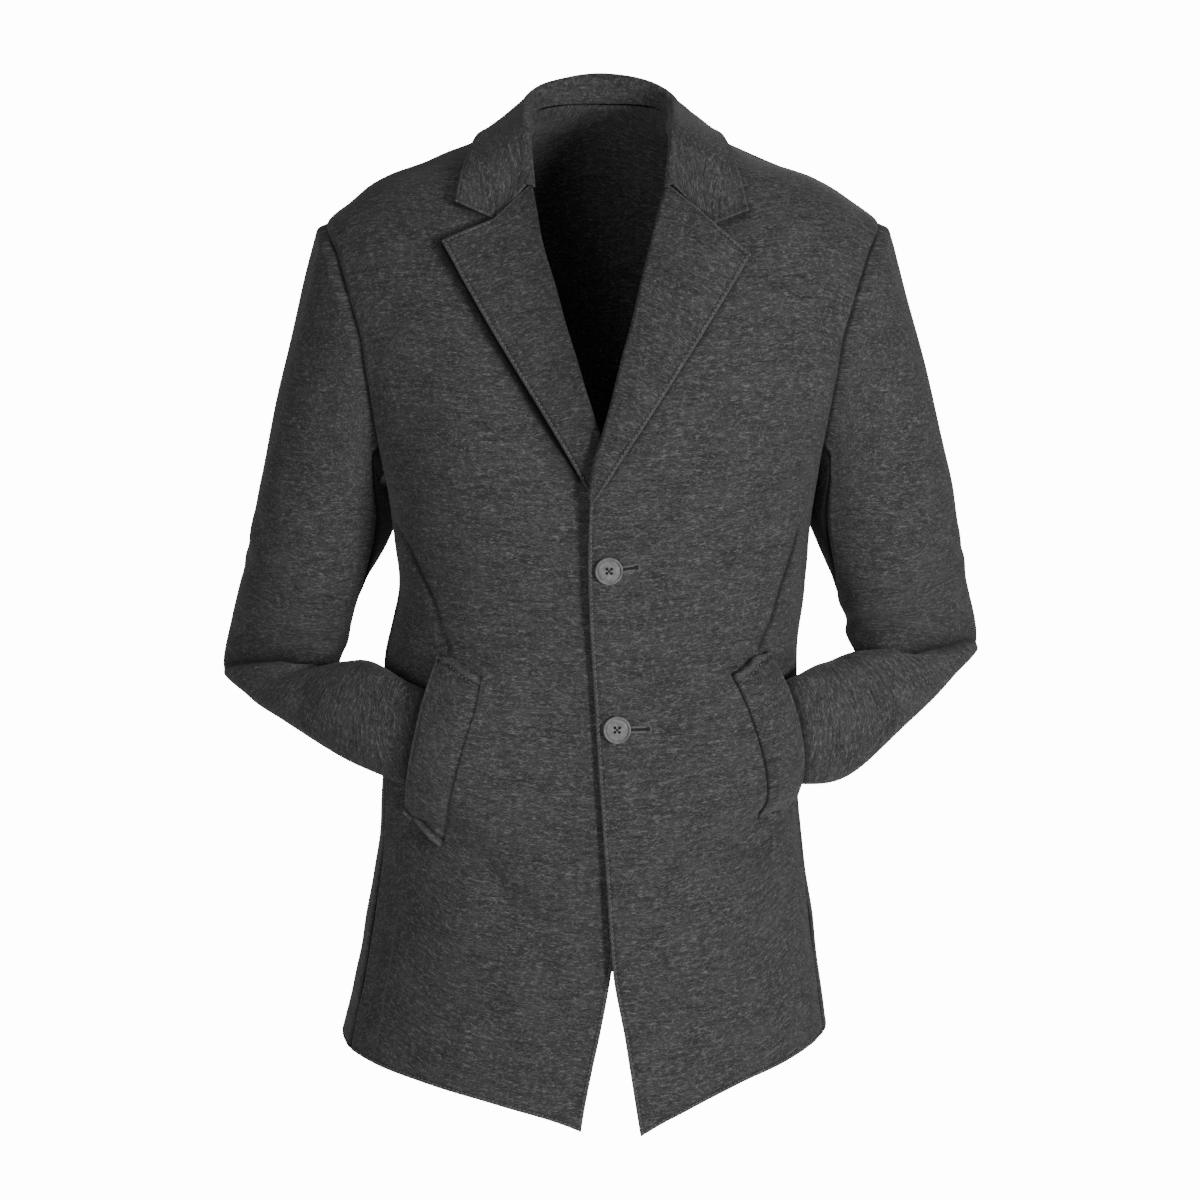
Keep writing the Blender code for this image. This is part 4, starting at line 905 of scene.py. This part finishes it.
def makeCollar():
    standEnd, foldEnd = collar["standEnd"], collar["foldEnd"]
    uShares = sharesAcross(collar["columns"], collar["length"], fineStart=True, fineEnd=True)
    stand = np.linspace(0, standEnd, collar["standRows"] + 1)
    fold = np.linspace(standEnd, foldEnd, collar["foldRows"] + 1)
    fall = foldEnd + collar["share"] * sharesAcross(collar["fallRows"], collar["depth"], fineEnd=True)
    vShares = np.concatenate([stand, fold[1:], fall[1:]])
    points, normals, across, up = layOut(uShares, vShares, collarPlace, True)
    onFall = smoothStep((vShares - 0.55) / 0.1)[:, None]  # the ends' edges are turned on the fall only
    rise = turnedEdge(up[-1:] - up) + (turnedEdge(across) + turnedEdge(fromEnd(across))) * onFall
    points = points + normals * (rise + unevenness(across, up, 0.0002))[..., None]
    # the grain runs square to the edges
    evenly = np.broadcast_to((uShares - 0.5) * across[:, -1].mean(), across.shape)
    uv = np.stack([evenly, up], axis=-1) + collar["grainStart"]
    shade = edgeShade(up[-1:] - up, 0.5) + (edgeShade(across, 0.4) + edgeShade(fromEnd(across), 0.4)) * onFall
    piece = clothPiece("collar_cloth", points, uv, True, coat["trimCloth"], shade)
    sewing = bmesh.new()
    lowerFall = vShares > collar["sewnBelow"]
    for edge, keep in (("top", None), ("start", lowerFall), ("end", lowerFall)):
        sewAlong(sewing, *insetPath(points, normals, edge, stitchSize["inset"], keep))
    stitches = dressSewn(piece, "collar", sewing)


makeCollar()
print("collar made")

# Pocket welts

welt = {
    "width": {"foot": 0.040, "head": 0.047}, "overhang": 0.0020, "gap": 0.0017, "columns": 38, "rows": 120,
    "spacing": (0.042, 0.155),  # rough sizes that the spacing by the edges is set from
    "sewnFrom": 0.78, "sewnDrop": 0.58,  # where the inner edge lies down on the front, and how far
    "foot": {"mouth": 0.004, "inner": {"left": -0.014, "right": -0.024}},
    "head": {"mouth": 0.006, "inner": -0.008},
    "runOut": {"depth": 0.0045, "below": 0.22, "over": 0.2, "from": 0.35, "reach": 0.4},
    # the strip sewn across its top, then the rolled end at its foot
    "stripAt": 0.0095, "stripDepth": 0.0014, "stripWidth": 0.0012, "stripRise": 0.0012,
    "tabWidth": 0.0075, "tabRise": {"left": 0.0012, "right": 0.0030},
    "tabGroove": 0.0016, "tabGrooveWidth": 0.0012,
    "innerDepth": 0.0005, "innerWidth": 0.0012, "plainFoot": 0.06, "stitchPast": 0.0008,
    "shades": {  # depth, width: painted shade along seams and edges; the crowns and the mouth's edge take it off as painted highlights
        "inner": (0.8, 0.0017), "strip": (0.8, 0.0010), "top": (0.95, 0.0014), "tab": (0.85, 0.0010),
        "tabPaintedHighlight": (0.45, 0.0024), "stripPaintedHighlight": (0.3, 0.0026), "mouth": (0.3, 0.0011),
    },
    "grainStart": (1.9, 1.6),
    "cut": {"left": (0.050, 0.165, 0.0077), "right": (0.053, 0.170, 0.0086)},
}


def weltPlace(side, u, v):
    bottom, top = front["mouthBottom"], front["mouthTop"]
    foot = bottom + welt["foot"]["mouth"] + (welt["foot"]["inner"][side] - welt["foot"]["mouth"]) * u
    head = top + welt["head"]["mouth"] + (welt["head"]["inner"] - welt["head"]["mouth"]) * u
    height = foot + (head - foot) * v
    mouthFoot, mouthHead = bottom + welt["foot"]["mouth"], top + welt["head"]["mouth"]
    width = welt["width"]["foot"] + (welt["width"]["head"] - welt["width"]["foot"]) * v
    angle = mouthAngle(side, mouthFoot + (mouthHead - mouthFoot) * v)
    angle = angle + (welt["overhang"] - u * width) / coat["bodyRadius"]
    sewn = smoothStep((u - welt["sewnFrom"]) / (1 - welt["sewnFrom"]))
    lift = (welt["gap"] + coat["trimCloth"]) * (1 - welt["sewnDrop"] * sewn)
    if side == "left":  # its inner foot runs out into the front
        runOut = welt["runOut"]
        low = runOut["depth"] * smoothStep((runOut["below"] - v) / runOut["over"])
        lift = lift - low * smoothStep((u - runOut["from"]) / runOut["reach"])

    def surface(turn, level):
        return frontPoint(side, turn, level)

    outward = normalOf(surface, angle, height) * sides[side]
    return surface(angle, height) + outward * lift[..., None]


def makeWelt(side):
    flip = side == "left"
    uShares = sharesAcross(welt["columns"], welt["spacing"][0], fineStart=True, fineEnd=True)
    vShares = sharesAcross(welt["rows"], welt["spacing"][1], fineStart=True, fineEnd=True)
    points, normals, across, up = layOut(uShares, vShares, lambda u, v: weltPlace(side, u, v), flip)
    fromInner, fromTop = fromEnd(across), up[-1:] - up
    tabEnd, stripEnd, tones = welt["tabWidth"], welt["stripAt"], welt["shades"]
    tab = welt["tabRise"][side] * np.sqrt(np.clip(1 - (up / (tabEnd / 2) - 1) ** 2, 0, 1))
    strip = welt["stripRise"] * np.sqrt(np.clip(1 - (fromTop / (stripEnd / 2) - 1) ** 2, 0, 1))
    rise = turnedEdge(across) - welt["innerDepth"] * bell(fromInner, welt["innerWidth"])
    rise = rise + tab + strip + unevenness(across, up, 0.0002)
    rise = rise - welt["tabGroove"] * bell(up - tabEnd, welt["tabGrooveWidth"])
    rise = rise - welt["stripDepth"] * bell(fromTop - stripEnd, welt["stripWidth"])
    points = points + normals * rise[..., None]
    uv = np.stack([across * -sides[side], up], axis=-1) + welt["grainStart"]
    low = 1.0 if side == "right" else smoothStep(up / welt["plainFoot"])  # no lines on a foot that runs out
    # seam lines with painted shade, less painted highlights on the tab, the strip and the mouth's edge
    shade = seamAndPaintedShadeLine(fromInner, *tones["inner"]) * low + seamAndPaintedShadeLine(fromTop - stripEnd, *tones["strip"])
    shade = shade + seamAndPaintedShadeLine(fromTop, *tones["top"])
    foot = seamAndPaintedShadeLine(up - tabEnd, *tones["tab"]) - seamAndPaintedShadeLine(up - tabEnd / 2, *tones["tabPaintedHighlight"])
    shade = shade + foot * low
    shade = shade - seamAndPaintedShadeLine(fromTop - stripEnd / 2, *tones["stripPaintedHighlight"])
    shade = shade - seamAndPaintedShadeLine(across - edgeShape["paintedHighlightAt"], *tones["mouth"])
    piece = clothPiece("pocket_welt_" + side + "_cloth", points, uv, flip, coat["trimCloth"], shade)
    sewing = bmesh.new()
    sewAlong(sewing, *insetPath(points, normals, "top", stripEnd + welt["stitchPast"]))
    stitches = dressSewn(piece, "pocket_welt_" + side, sewing)


for side in sides:
    makeWelt(side)
print("pocket welts made")

# Sleeves

sleeve = {
    "headRoll": 0.0105, "footRoll": 0.0042, "headDrop": 0.007, "seamGap": 0.0007,
    "seams": (140, 250), "seamDegrees": 0.36, "headRows": 10, "rows": 320,
    "columns": {"top": 84, "under": 34},
    "girth": {"top": 0.24, "under": 0.10},  # rough sizes that the spacing by the seams is set from
    "cut": {"left": {"top": (0.27, 0.63, 0.1201), "under": (0.14, 0.50, 0.0438)},
            "right": {"top": (0.27, 0.63, 0.1195), "under": (0.14, 0.50, 0.0447)}},
    # centre, reach to the outer side and reach to the inside of the elbow; x counts away from the body
    "rings": {
        "right": (
            (0.2371, 0.024, -0.3220, 0.0561, -0.004, 0.0140, -0.0040, -0.062, -0.0080),
            (0.2470, 0.026, -0.3700, 0.0515, -0.0140, 0.0100, -0.0160, -0.056, -0.0100),
            (0.2640, 0.030, -0.4120, 0.0310, -0.0305, 0.0045, -0.0390, -0.044, -0.0100),
            (0.2765, 0.033, -0.4620, 0.0290, -0.028, 0.0045, -0.0430, -0.044, 0.0180),
            (0.2630, 0.013, -0.4820, 0.0270, -0.026, 0.0040, -0.0310, -0.028, 0.0230),
            (0.2440, -0.016, -0.4830, 0.0230, -0.023, 0.0030, -0.0220, -0.014, 0.0305),
            (0.2040, -0.062, -0.4925, 0.0160, -0.018, 0.0000, -0.0040, -0.002, 0.0420),
            (0.1460, -0.1005, -0.5060, 0.0062, -0.0142, 0.0000, 0.0000, 0.000, 0.0430),
            (0.1060, -0.1130, -0.5130, 0.0056, -0.0150, 0.0000, -0.0060, -0.002, 0.0400)),
        "left": (
            (0.2430, 0.024, -0.3200, 0.0596, -0.004, 0.0140, -0.0040, -0.062, -0.0080),
            (0.2530, 0.026, -0.3640, 0.0545, -0.0150, 0.0100, -0.0160, -0.056, -0.0100),
            (0.2618, 0.030, -0.4020, 0.0360, -0.035, 0.0048, -0.0410, -0.045, -0.0100),
            (0.2735, 0.033, -0.4410, 0.0340, -0.032, 0.0045, -0.0435, -0.044, 0.0170),
            (0.2620, 0.013, -0.4640, 0.0280, -0.027, 0.0040, -0.0320, -0.028, 0.0250),
            (0.2400, -0.014, -0.4760, 0.0240, -0.024, 0.0030, -0.0210, -0.013, 0.0360),
            (0.2000, -0.044, -0.5010, 0.0180, -0.018, 0.0000, -0.0040, -0.002, 0.0450),
            (0.1490, -0.0800, -0.5055, 0.0105, -0.0113, 0.0000, 0.0000, 0.000, 0.0430),
            (0.1130, -0.1050, -0.5110, 0.0090, -0.0125, 0.0000, -0.0060, -0.002, 0.0400)),
    },
    "elbowRing": 5, "roundRadius": 0.055,
    "allowance": ((0.0060, 0.955), (0.0030, 0.975)),  # turned in under the body: how far, and drawn in round
    # the fold at the inside of the elbow: turn in degrees and place along from the elbow ring
    "foldLine": {
        "right": ((-80, 0.002), (-40, 0.0047), (0, 0.008), (30, 0.013), (60, 0.025), (90, 0.036),
                  (130, 0.037), (160, 0.024)),
        "left": ((-80, 0.004), (-50, 0.0024), (-20, 0.007), (0, 0.0155), (20, 0.027), (40, 0.045),
                 (70, 0.061), (100, 0.071), (130, 0.072), (160, 0.055)),
    },
    "fold": {
        "lift": 0.0050, "deep": 0.0090, "lower": 0.026, "upper": 0.020, "sharp": 0.0013,
        "shownFrom": (-60, 26), "shownTo": (160, 40),  # turn in degrees, and over how many it fades
        "flatten": (45, 45, 0.8),  # from where, over how many degrees and how far the lift dies down
        "shade": 0.92, "shadeReach": 0.006, "hollow": (38, 36, 1.7),  # the painted shade reaches further here
    },
    "plain": {"head": 0.06, "cuff": 0.2, "nap": 0.05},  # no creases at the armhole and in the pocket
    # painted shade where no light gets in: under the arm and at the welt's edge
    "armpit": {"shade": 0.85, "turn": 225, "turnFade": 35, "along": -0.05, "alongFade": 0.07},
    "byWelt": {"line": (0.62, 0.0060), "from": 0.7, "fade": 0.08},
    # the grain lies level on the upper arm and across the forearm
    "grain": {"bendFrom": -0.10, "bendOver": 0.09, "elbowHeight": -0.478,
              "top": (2.4, 2.9), "under": (2.4, 3.7)},
    # around (turn x radius) and along from the elbow ring, slant, half length, half width, rise
    "creases": {
        "right": (
            (-0.054, -0.070, 0, 0.034, 0.060, 0.0020), (-0.016, -0.105, 0, 0.024, 0.022, 0.0030),
            (-0.042, -0.085, 0, 0.028, 0.015, 0.0030),
            (-0.050, 0.002, 0, 0.020, 0.016, 0.0034), (0.168, -0.168, 0, 0.036, 0.050, 0.0064),
            (0.105, 0.140, 0, 0.045, 0.036, 0.0055), (0.187, -0.215, 0, 0.034, 0.034, 0.0062),
            (0.134, -0.012, 0, 0.030, 0.030, 0.0060), (0.105, 0.052, 0, 0.045, 0.032, -0.0055),
            (0.145, -0.100, 0, 0.034, 0.030, -0.0046),
            (-0.022, -0.010, 16, 0.016, 0.0045, 0.0022), (-0.018, -0.019, 14, 0.018, 0.006, -0.0026),
            (0.045, -0.060, 22, 0.045, 0.012, -0.0016), (0.030, -0.115, 34, 0.045, 0.014, -0.0014),
            (0.020, 0.075, -28, 0.040, 0.012, -0.0014), (-0.040, -0.200, 80, 0.090, 0.016, -0.0014),
            (0.030, -0.230, 96, 0.080, 0.018, -0.0012)),
        "left": (
            (-0.054, -0.056, 0, 0.034, 0.060, 0.0028), (-0.016, -0.080, 0, 0.024, 0.020, 0.0024),
            (-0.042, -0.060, 0, 0.028, 0.016, 0.0034), (0.187, -0.205, 0, 0.034, 0.034, 0.0062),
            (-0.052, -0.165, 0, 0.034, 0.036, 0.0056), (-0.050, 0.004, 0, 0.020, 0.016, 0.0016),
            (0.168, -0.152, 0, 0.036, 0.050, 0.0064), (0.105, 0.138, 0, 0.045, 0.030, 0.0060),
            (0.105, 0.058, 0, 0.045, 0.030, -0.0125), (0.134, 0.018, 0, 0.030, 0.026, 0.0080),
            (-0.080, 0.130, 0, 0.045, 0.042, 0.0070), (-0.016, -0.016, 14, 0.020, 0.006, -0.0022),
            (0.042, -0.040, 20, 0.045, 0.012, -0.0018), (0.026, -0.098, 32, 0.045, 0.014, -0.0014),
            (0.015, 0.090, -30, 0.040, 0.012, -0.0014), (-0.036, -0.190, 82, 0.090, 0.016, -0.0014),
            (0.034, -0.220, 95, 0.080, 0.018, -0.0012)),
    },
}


allRound = np.linspace(0, 2 * np.pi, 36, endpoint=False)


def armholeRing(side, turn):  # turn 0 is the shoulder point, a quarter turn is the front
    marks, counts = bodyZones["outer"][3:7], bodyZones["rows"][3:6]
    top, bottom = coat["shoulderPoint"], coat["underarm"]
    zones = zip(marks, marks[1:], counts)
    levels = [low + (high - low) * np.arange(count) / count for low, high, count in zones]
    levels = np.concatenate([*levels, [top]])[::-1]
    middle, half = (top + bottom) / 2, (top - bottom) / 2
    turns = np.arccos(np.clip((levels - middle) / half, -1.0, 1.0))
    ahead = bodyPoint(sides[side] * np.radians(armhole.read("front", levels)), levels)
    behind = bodyPoint(sides[side] * np.radians(armhole.read("back", levels)), levels)
    edge = np.concatenate([ahead, behind[-2::-1]])
    edgeTurns = np.concatenate([turns, 2 * np.pi - turns[-2::-1]])
    ring = readRows(turn % (2 * np.pi), edgeTurns, edge)
    ring[..., 0] *= sides[side]
    return ring


def sleeveRings(side, turn):
    hole = armholeRing(side, turn)
    topShare = ((1 + np.cos(turn)) / 2)[..., None]
    roll = sleeve["footRoll"] + (sleeve["headRoll"] - sleeve["footRoll"]) * topShare
    rolled = hole + roll * [1.0, 0.0, 0.0] - [0.0, 0.0, sleeve["headDrop"]]
    rings = [hole + [sleeve["seamGap"], 0.0, 0.0], rolled]
    for row in sleeve["rings"][side]:
        centre, over, fore = np.array(row[0:3]), np.array(row[3:6]), np.array(row[6:9])
        rings.append(centre + np.cos(turn)[..., None] * over + np.sin(turn)[..., None] * fore)
    return np.stack(rings)


def ringKeys(side):
    rings = sleeveRings(side, allRound)
    steps = np.linalg.norm(np.diff(rings, axis=0), axis=-1).mean(axis=-1)
    return np.concatenate([[0.0], np.cumsum(steps)])


def sleevePoint(side, turn, along):  # a smooth curve down the sleeve through every ring
    keys, rings = ringKeys(side), sleeveRings(side, turn)
    before, after = [0, *range(len(keys) - 1)], [*range(1, len(keys)), -1]
    tangents = (rings[after] - rings[before]) / (keys[after] - keys[before])[:, None, None]
    key = along * keys[-1]
    k = np.clip(np.searchsorted(keys, key) - 1, 0, len(keys) - 2)
    width = (keys[k + 1] - keys[k])[..., None]
    t = (key - keys[k])[..., None] / width
    place = np.arange(rings.shape[1])
    lowWay, highWay = tangents[k, place] * width, tangents[k + 1, place] * width
    point = curve(rings[k, place], rings[k + 1, place], lowWay, highWay, t)
    point[..., 0] *= sides[side]
    return point


def elbowFold(side, turn, fromElbow):  # the forearm laps over the upper arm along the fold: rise and painted shade above it
    fold, line = sleeve["fold"], np.array(sleeve["foldLine"][side])
    degrees = np.degrees(turn)
    past = fromElbow - np.interp(degrees, line[:, 0], line[:, 1])
    below = 0.5 + 0.5 * np.tanh(past / fold["sharp"])
    (start, fadeIn), (stop, fadeOut) = fold["shownFrom"], fold["shownTo"]
    shown = smoothStep((degrees - start) / fadeIn) * smoothStep((stop - degrees) / fadeOut)
    flatFrom, flatOver, flatShare = fold["flatten"]
    lift = fold["lift"] * (1 - flatShare * smoothStep((degrees - flatFrom) / flatOver))
    lift = lift * below * np.exp(-np.maximum(past, 0) / fold["lower"])
    rise = shown * (lift - fold["deep"] * (1 - below) * np.exp(np.minimum(past, 0) / fold["upper"]))
    hollowAt, hollowWidth, further = fold["hollow"]
    reach = fold["shadeReach"] * (1 + further * bell(degrees - hollowAt, hollowWidth))
    return rise, shown * fold["shade"] * (1 - below) * np.exp(np.minimum(past, 0) / reach)


def makeSleeve(side, part):
    flip = side == "right"
    fore, hind = sleeve["seams"]
    first, last = (hind - 360, fore) if part == "top" else (fore, hind)
    first, last = first + sleeve["seamDegrees"], last - sleeve["seamDegrees"]
    keys = ringKeys(side)
    uShares = sharesAcross(sleeve["columns"][part], sleeve["girth"][part], fineStart=True, fineEnd=True)
    headEnd = keys[1] / keys[-1]
    body = sharesAcross(sleeve["rows"], keys[-1] - keys[1], fineEnd=True)
    head = np.linspace(0, headEnd, sleeve["headRows"] + 1)
    vShares = np.concatenate([head, headEnd + (1 - headEnd) * body[1:]])
    turns = np.radians(first + (last - first) * uShares)
    points, normals, across, down = layOut(turns, vShares, lambda u, v: sleevePoint(side, u, v), flip)
    turn, along = np.meshgrid(turns, vShares)
    around, fromElbow = turn * sleeve["roundRadius"], along * keys[-1] - keys[sleeve["elbowRing"]]
    foldRise, foldShade = elbowFold(side, turn, fromElbow)
    rise = creaseRise(sleeve["creases"][side], around, fromElbow) + foldRise
    plain, armpit, byWelt, grain = (sleeve[name] for name in ("plain", "armpit", "byWelt", "grain"))
    rise = rise * smoothStep(along / plain["head"]) * smoothStep((1 - along) / plain["cuff"])
    rise = rise + sewnEdge(across) + sewnEdge(fromEnd(across))
    rise = rise + unevenness(around, fromElbow) * smoothStep(along / plain["nap"])
    points = points + normals * rise[..., None]
    shade = seamAndPaintedShadeLine(across, 0.6) + seamAndPaintedShadeLine(fromEnd(across), 0.6) + seamAndPaintedShadeLine(down, 0.5) + foldShade
    if part == "under":
        armpitPaintedShade = armpit["shade"] * smoothStep((armpit["turn"] - np.degrees(turn)) / armpit["turnFade"])
        shade = shade + armpitPaintedShade * smoothStep((armpit["along"] - fromElbow) / armpit["alongFade"])
    # painted shadow of the welt's edge on the forearm
    mouth = weltPlace(side, np.zeros(5), np.linspace(0, 1, 5))[:, [0, 2]]
    toWelt = nearPath(mouth, points[..., 0], points[..., 2])
    shade = shade + seamAndPaintedShadeLine(toWelt, *byWelt["line"]) * smoothStep((along - byWelt["from"]) / byWelt["fade"])
    middle = points.shape[1] // 2
    bent = smoothStep((fromElbow - grain["bendFrom"]) / grain["bendOver"])
    rows = (points[..., 2] - grain["elbowHeight"]) * (1 - bent) - fromElbow * bent
    uv = np.stack([across - across[:, middle:middle + 1], rows], axis=-1) + grain[part]
    hub = armholeRing(side, allRound).mean(axis=0) * [sides[side], 1.0, 1.0]
    tucked = [hub + (points[0] - hub) * [1.0, shrink, shrink] - [sides[side] * reach, 0.0, 0.0]
              for reach, shrink in sleeve["allowance"]]
    points = np.concatenate([tucked, points])
    uv = np.concatenate([*(uv[:1] + [0.0, reach] for reach, _ in sleeve["allowance"]), uv])
    shade = np.concatenate([shade[:1], shade[:1], shade])
    name = "sleeve_" + side + "_" + part
    piece = clothPiece(name + "_cloth", points, uv, flip, coat["cloth"], shade)
    dress(piece, [name])


for side in sides:
    for part in ("top", "under"):
        makeSleeve(side, part)
print("sleeves made")

# Buttons

button = {
    "places": {"button_upper": (0.0073, -0.3545), "button_lower": (0.0139, -0.4864)},
    "radius": 0.0115, "lift": 0.0005, "steps": 64,
    "profile": ((0.00, 0.0000), (0.80, 0.0000), (0.93, 0.0006), (0.985, 0.0014), (1.00, 0.0022),
                (0.985, 0.0031), (0.95, 0.0038), (0.90, 0.0040), (0.86, 0.0037), (0.835, 0.0028),
                (0.81, 0.0023), (0.785, 0.0024), (0.75, 0.0029), (0.70, 0.0031), (0.40, 0.0029),
                (0.00, 0.0028)),
    "holeRadius": 0.0012, "holeSpacing": 0.00184, "holeDepth": 0.012,
    "thread": {"length": 0.0066, "width": 0.0011, "height": 0.0012}, "threadLevel": 0.0027,
}


def onLeftFront(x, height, lift):  # one place, and the way out from it
    seat, outward = frontAt("left", np.array([x]), np.array([height]), np.array([lift]))
    return seat[0], outward[0]


def seatedAt(x, height, lift):
    seat, outward = onLeftFront(x, height, lift)
    turn = Vector((0, 0, 1)).rotation_difference(Vector(outward)).to_matrix().to_4x4()
    return Matrix.Translation(Vector(seat)) @ turn


def makeButton(name):
    seated = seatedAt(*button["places"][name], button["lift"])
    shape = bmesh.new()
    profile = [shape.verts.new((share * button["radius"], 0.0, level)) for share, level in button["profile"]]
    edges = [shape.edges.new(pair) for pair in zip(profile[:-1], profile[1:])]
    bmesh.ops.spin(shape, geom=profile + edges, axis=(0, 0, 1), cent=(0, 0, 0), angle=math.tau,
                   steps=button["steps"], use_merge=True)
    bmesh.ops.remove_doubles(shape, verts=shape.verts, dist=1e-6)
    bmesh.ops.recalc_face_normals(shape, faces=shape.faces)
    bmesh.ops.transform(shape, matrix=seated, verts=shape.verts)
    holes = bmesh.new()
    spacing = button["holeSpacing"]
    for across, along in ((1, 1), (1, -1), (-1, 1), (-1, -1)):
        spot = seated @ Matrix.Translation((across * spacing, along * spacing, 0.0))
        bmesh.ops.create_cone(holes, cap_ends=True, segments=20, radius1=button["holeRadius"],
                              radius2=button["holeRadius"], depth=button["holeDepth"], matrix=spot)
    disc, cutter = addPiece(name + "_disc", shape, horn), addPiece(name + "_holes", holes, horn)
    cut = disc.modifiers.new("Holes", "BOOLEAN")
    cut.object = cutter
    cut.operation = "DIFFERENCE"
    drilled = bpy.data.meshes.new_from_object(disc.evaluated_get(bpy.context.evaluated_depsgraph_get()))
    disc.modifiers.clear()
    disc.data = drilled
    bpy.data.objects.remove(cutter, do_unlink=True)
    thread = bmesh.new()
    upward = np.array(seated.to_3x3() @ Vector((0, 0, 1)))
    spot = np.array(seated @ Vector((0, 0, button["threadLevel"])))
    for turn in (math.radians(45), math.radians(135)):
        along = np.array(seated.to_3x3() @ Vector((math.cos(turn), math.sin(turn), 0)))
        placeStitch(thread, spot, along, np.cross(upward, along), upward, button["thread"])
    threads = addPiece(name + "_thread", thread, darkThread)
    dress(disc, [name])
    dress(threads, [])


for name in button["places"]:
    makeButton(name)
print("buttons made")

# Keyhole buttonholes

buttonhole = {
    "upper": {"start": (0.0150, -0.3542), "end": (0.0294, -0.3522)},
    "lower": {"start": (0.0220, -0.4868), "end": (0.0388, -0.4866)},
    "eye": 0.0020, "slit": 0.0010, "gap": 0.00072, "lift": 0.0005, "aside": 0.0021, "round": 0.0010,
    "reach": 0.001, "openEye": 0.75, "openLift": 0.0001, "openFlat": 0.3,
    "thread": {"length": 0.0025, "width": 0.00082, "height": 0.0013},
}


def makeButtonhole(name):
    hole = buttonhole[name]
    (startX, startZ), (endX, endZ) = hole["start"], hole["end"]
    way = unit(np.array([endX - startX, endZ - startZ]))
    aside = np.array([-way[1], way[0]])
    length = math.hypot(endX - startX, endZ - startZ)
    outline = []  # place in the cloth and the stitch's own way, both flat
    for at in np.arange(0.0, length - buttonhole["eye"], buttonhole["gap"]):
        for edge in (1.0, -1.0):
            spot = np.array([startX, startZ]) + way * at + aside * edge * buttonhole["aside"]
            outline.append((spot, aside * edge))
    for turn in np.radians(np.arange(-140, 141, 20)):
        spoke = way * math.cos(turn) + aside * math.sin(turn)
        outline.append((np.array([endX, endZ]) + spoke * (buttonhole["eye"] + buttonhole["round"]), spoke))
    sewing = bmesh.new()
    for place, spoke in outline:
        seat, outward = onLeftFront(*place, buttonhole["lift"])
        ahead, _ = onLeftFront(*(place + spoke * buttonhole["reach"]), buttonhole["lift"])
        along = unit(ahead - seat)
        placeStitch(sewing, seat, along, np.cross(outward, along), outward, buttonhole["thread"])
    stitches = addPiece("buttonhole_" + name, sewing, paleThread)
    # a dark fill in the slit and the eye, standing in as painted shade of the opening
    paintedSlitShade = bmesh.new()
    spots = [(startX + way[0] * at, startZ + way[1] * at, buttonhole["slit"])
             for at in np.linspace(0, length, 9)]
    flat = Matrix.Diagonal((1.0, 1.0, buttonhole["openFlat"], 1.0))
    for x, height, radius in spots + [(endX, endZ, buttonhole["eye"] * buttonhole["openEye"])]:
        bmesh.ops.create_uvsphere(paintedSlitShade, u_segments=10, v_segments=6, radius=radius,
                                  matrix=seatedAt(x, height, buttonhole["openLift"]) @ flat)
    gap = addPiece("buttonhole_" + name + "_gap", paintedSlitShade, darkThread)
    dress(stitches, [])
    dress(gap, [])


for name in ("upper", "lower"):
    makeButtonhole(name)
print("buttonholes made")

# Floor, light and camera

studio = {
    "floor": -1.52, "floorRadius": 1.2, "ambient": 0.20, "backdrop": 14.0,
    "lights": (  # place, size, power
        ((1.70, -2.35, 0.05), 0.6, 58.0), ((-0.9, -2.8, -0.2), 1.4, 23.0), ((0.8, 3.0, 0.1), 1.4, 26.0)),
    "aim": (0.0, 0.0, -0.4),  # where the lights point
    "camera": (0.0, -2.6, 0.113), "pitch": 11.3, "lens": 92.46, "sensor": 36.0,
}


def makeStudio():
    ground = bmesh.new()
    bmesh.ops.create_circle(ground, cap_ends=True, segments=96, radius=studio["floorRadius"])
    bmesh.ops.translate(ground, verts=ground.verts, vec=(0.0, 0.0, studio["floor"]))
    material, shader, _ = startFinish("pale_floor", 0.9)
    shader.inputs["Base Color"].default_value = (0.9, 0.9, 0.9, 1.0)
    addPiece("floor", ground, material, smooth=False)
    world = bpy.data.worlds.new("studio")
    world.use_nodes = True
    background = world.node_tree.nodes["Background"]
    background.inputs["Color"].default_value = (1.0, 1.0, 1.0, 1.0)
    start = Shade(world.node_tree)
    seen = start.node("ShaderNodeLightPath", {}, {}, 0)
    (seen * (studio["backdrop"] - studio["ambient"]) + studio["ambient"]).feed(background, "Strength")
    bpy.context.scene.world = world
    for k, (place, size, power) in enumerate(studio["lights"]):
        lamp = bpy.data.lights.new("softbox_%d" % k, "AREA")
        lamp.size, lamp.energy = size, power
        softbox = bpy.data.objects.new("softbox_%d" % k, lamp)
        softbox.location = place
        softbox.rotation_euler = (Vector(studio["aim"]) - Vector(place)).to_track_quat("-Z", "Y").to_euler()
        bpy.context.scene.collection.objects.link(softbox)
    lens = bpy.data.cameras.new("camera")
    lens.lens, lens.sensor_width = studio["lens"], studio["sensor"]
    camera = bpy.data.objects.new("camera", lens)
    camera.location = studio["camera"]
    camera.rotation_euler = (math.radians(90 - studio["pitch"]), 0.0, 0.0)
    bpy.context.scene.collection.objects.link(camera)
    bpy.context.scene.camera = camera


makeStudio()
print("studio made")
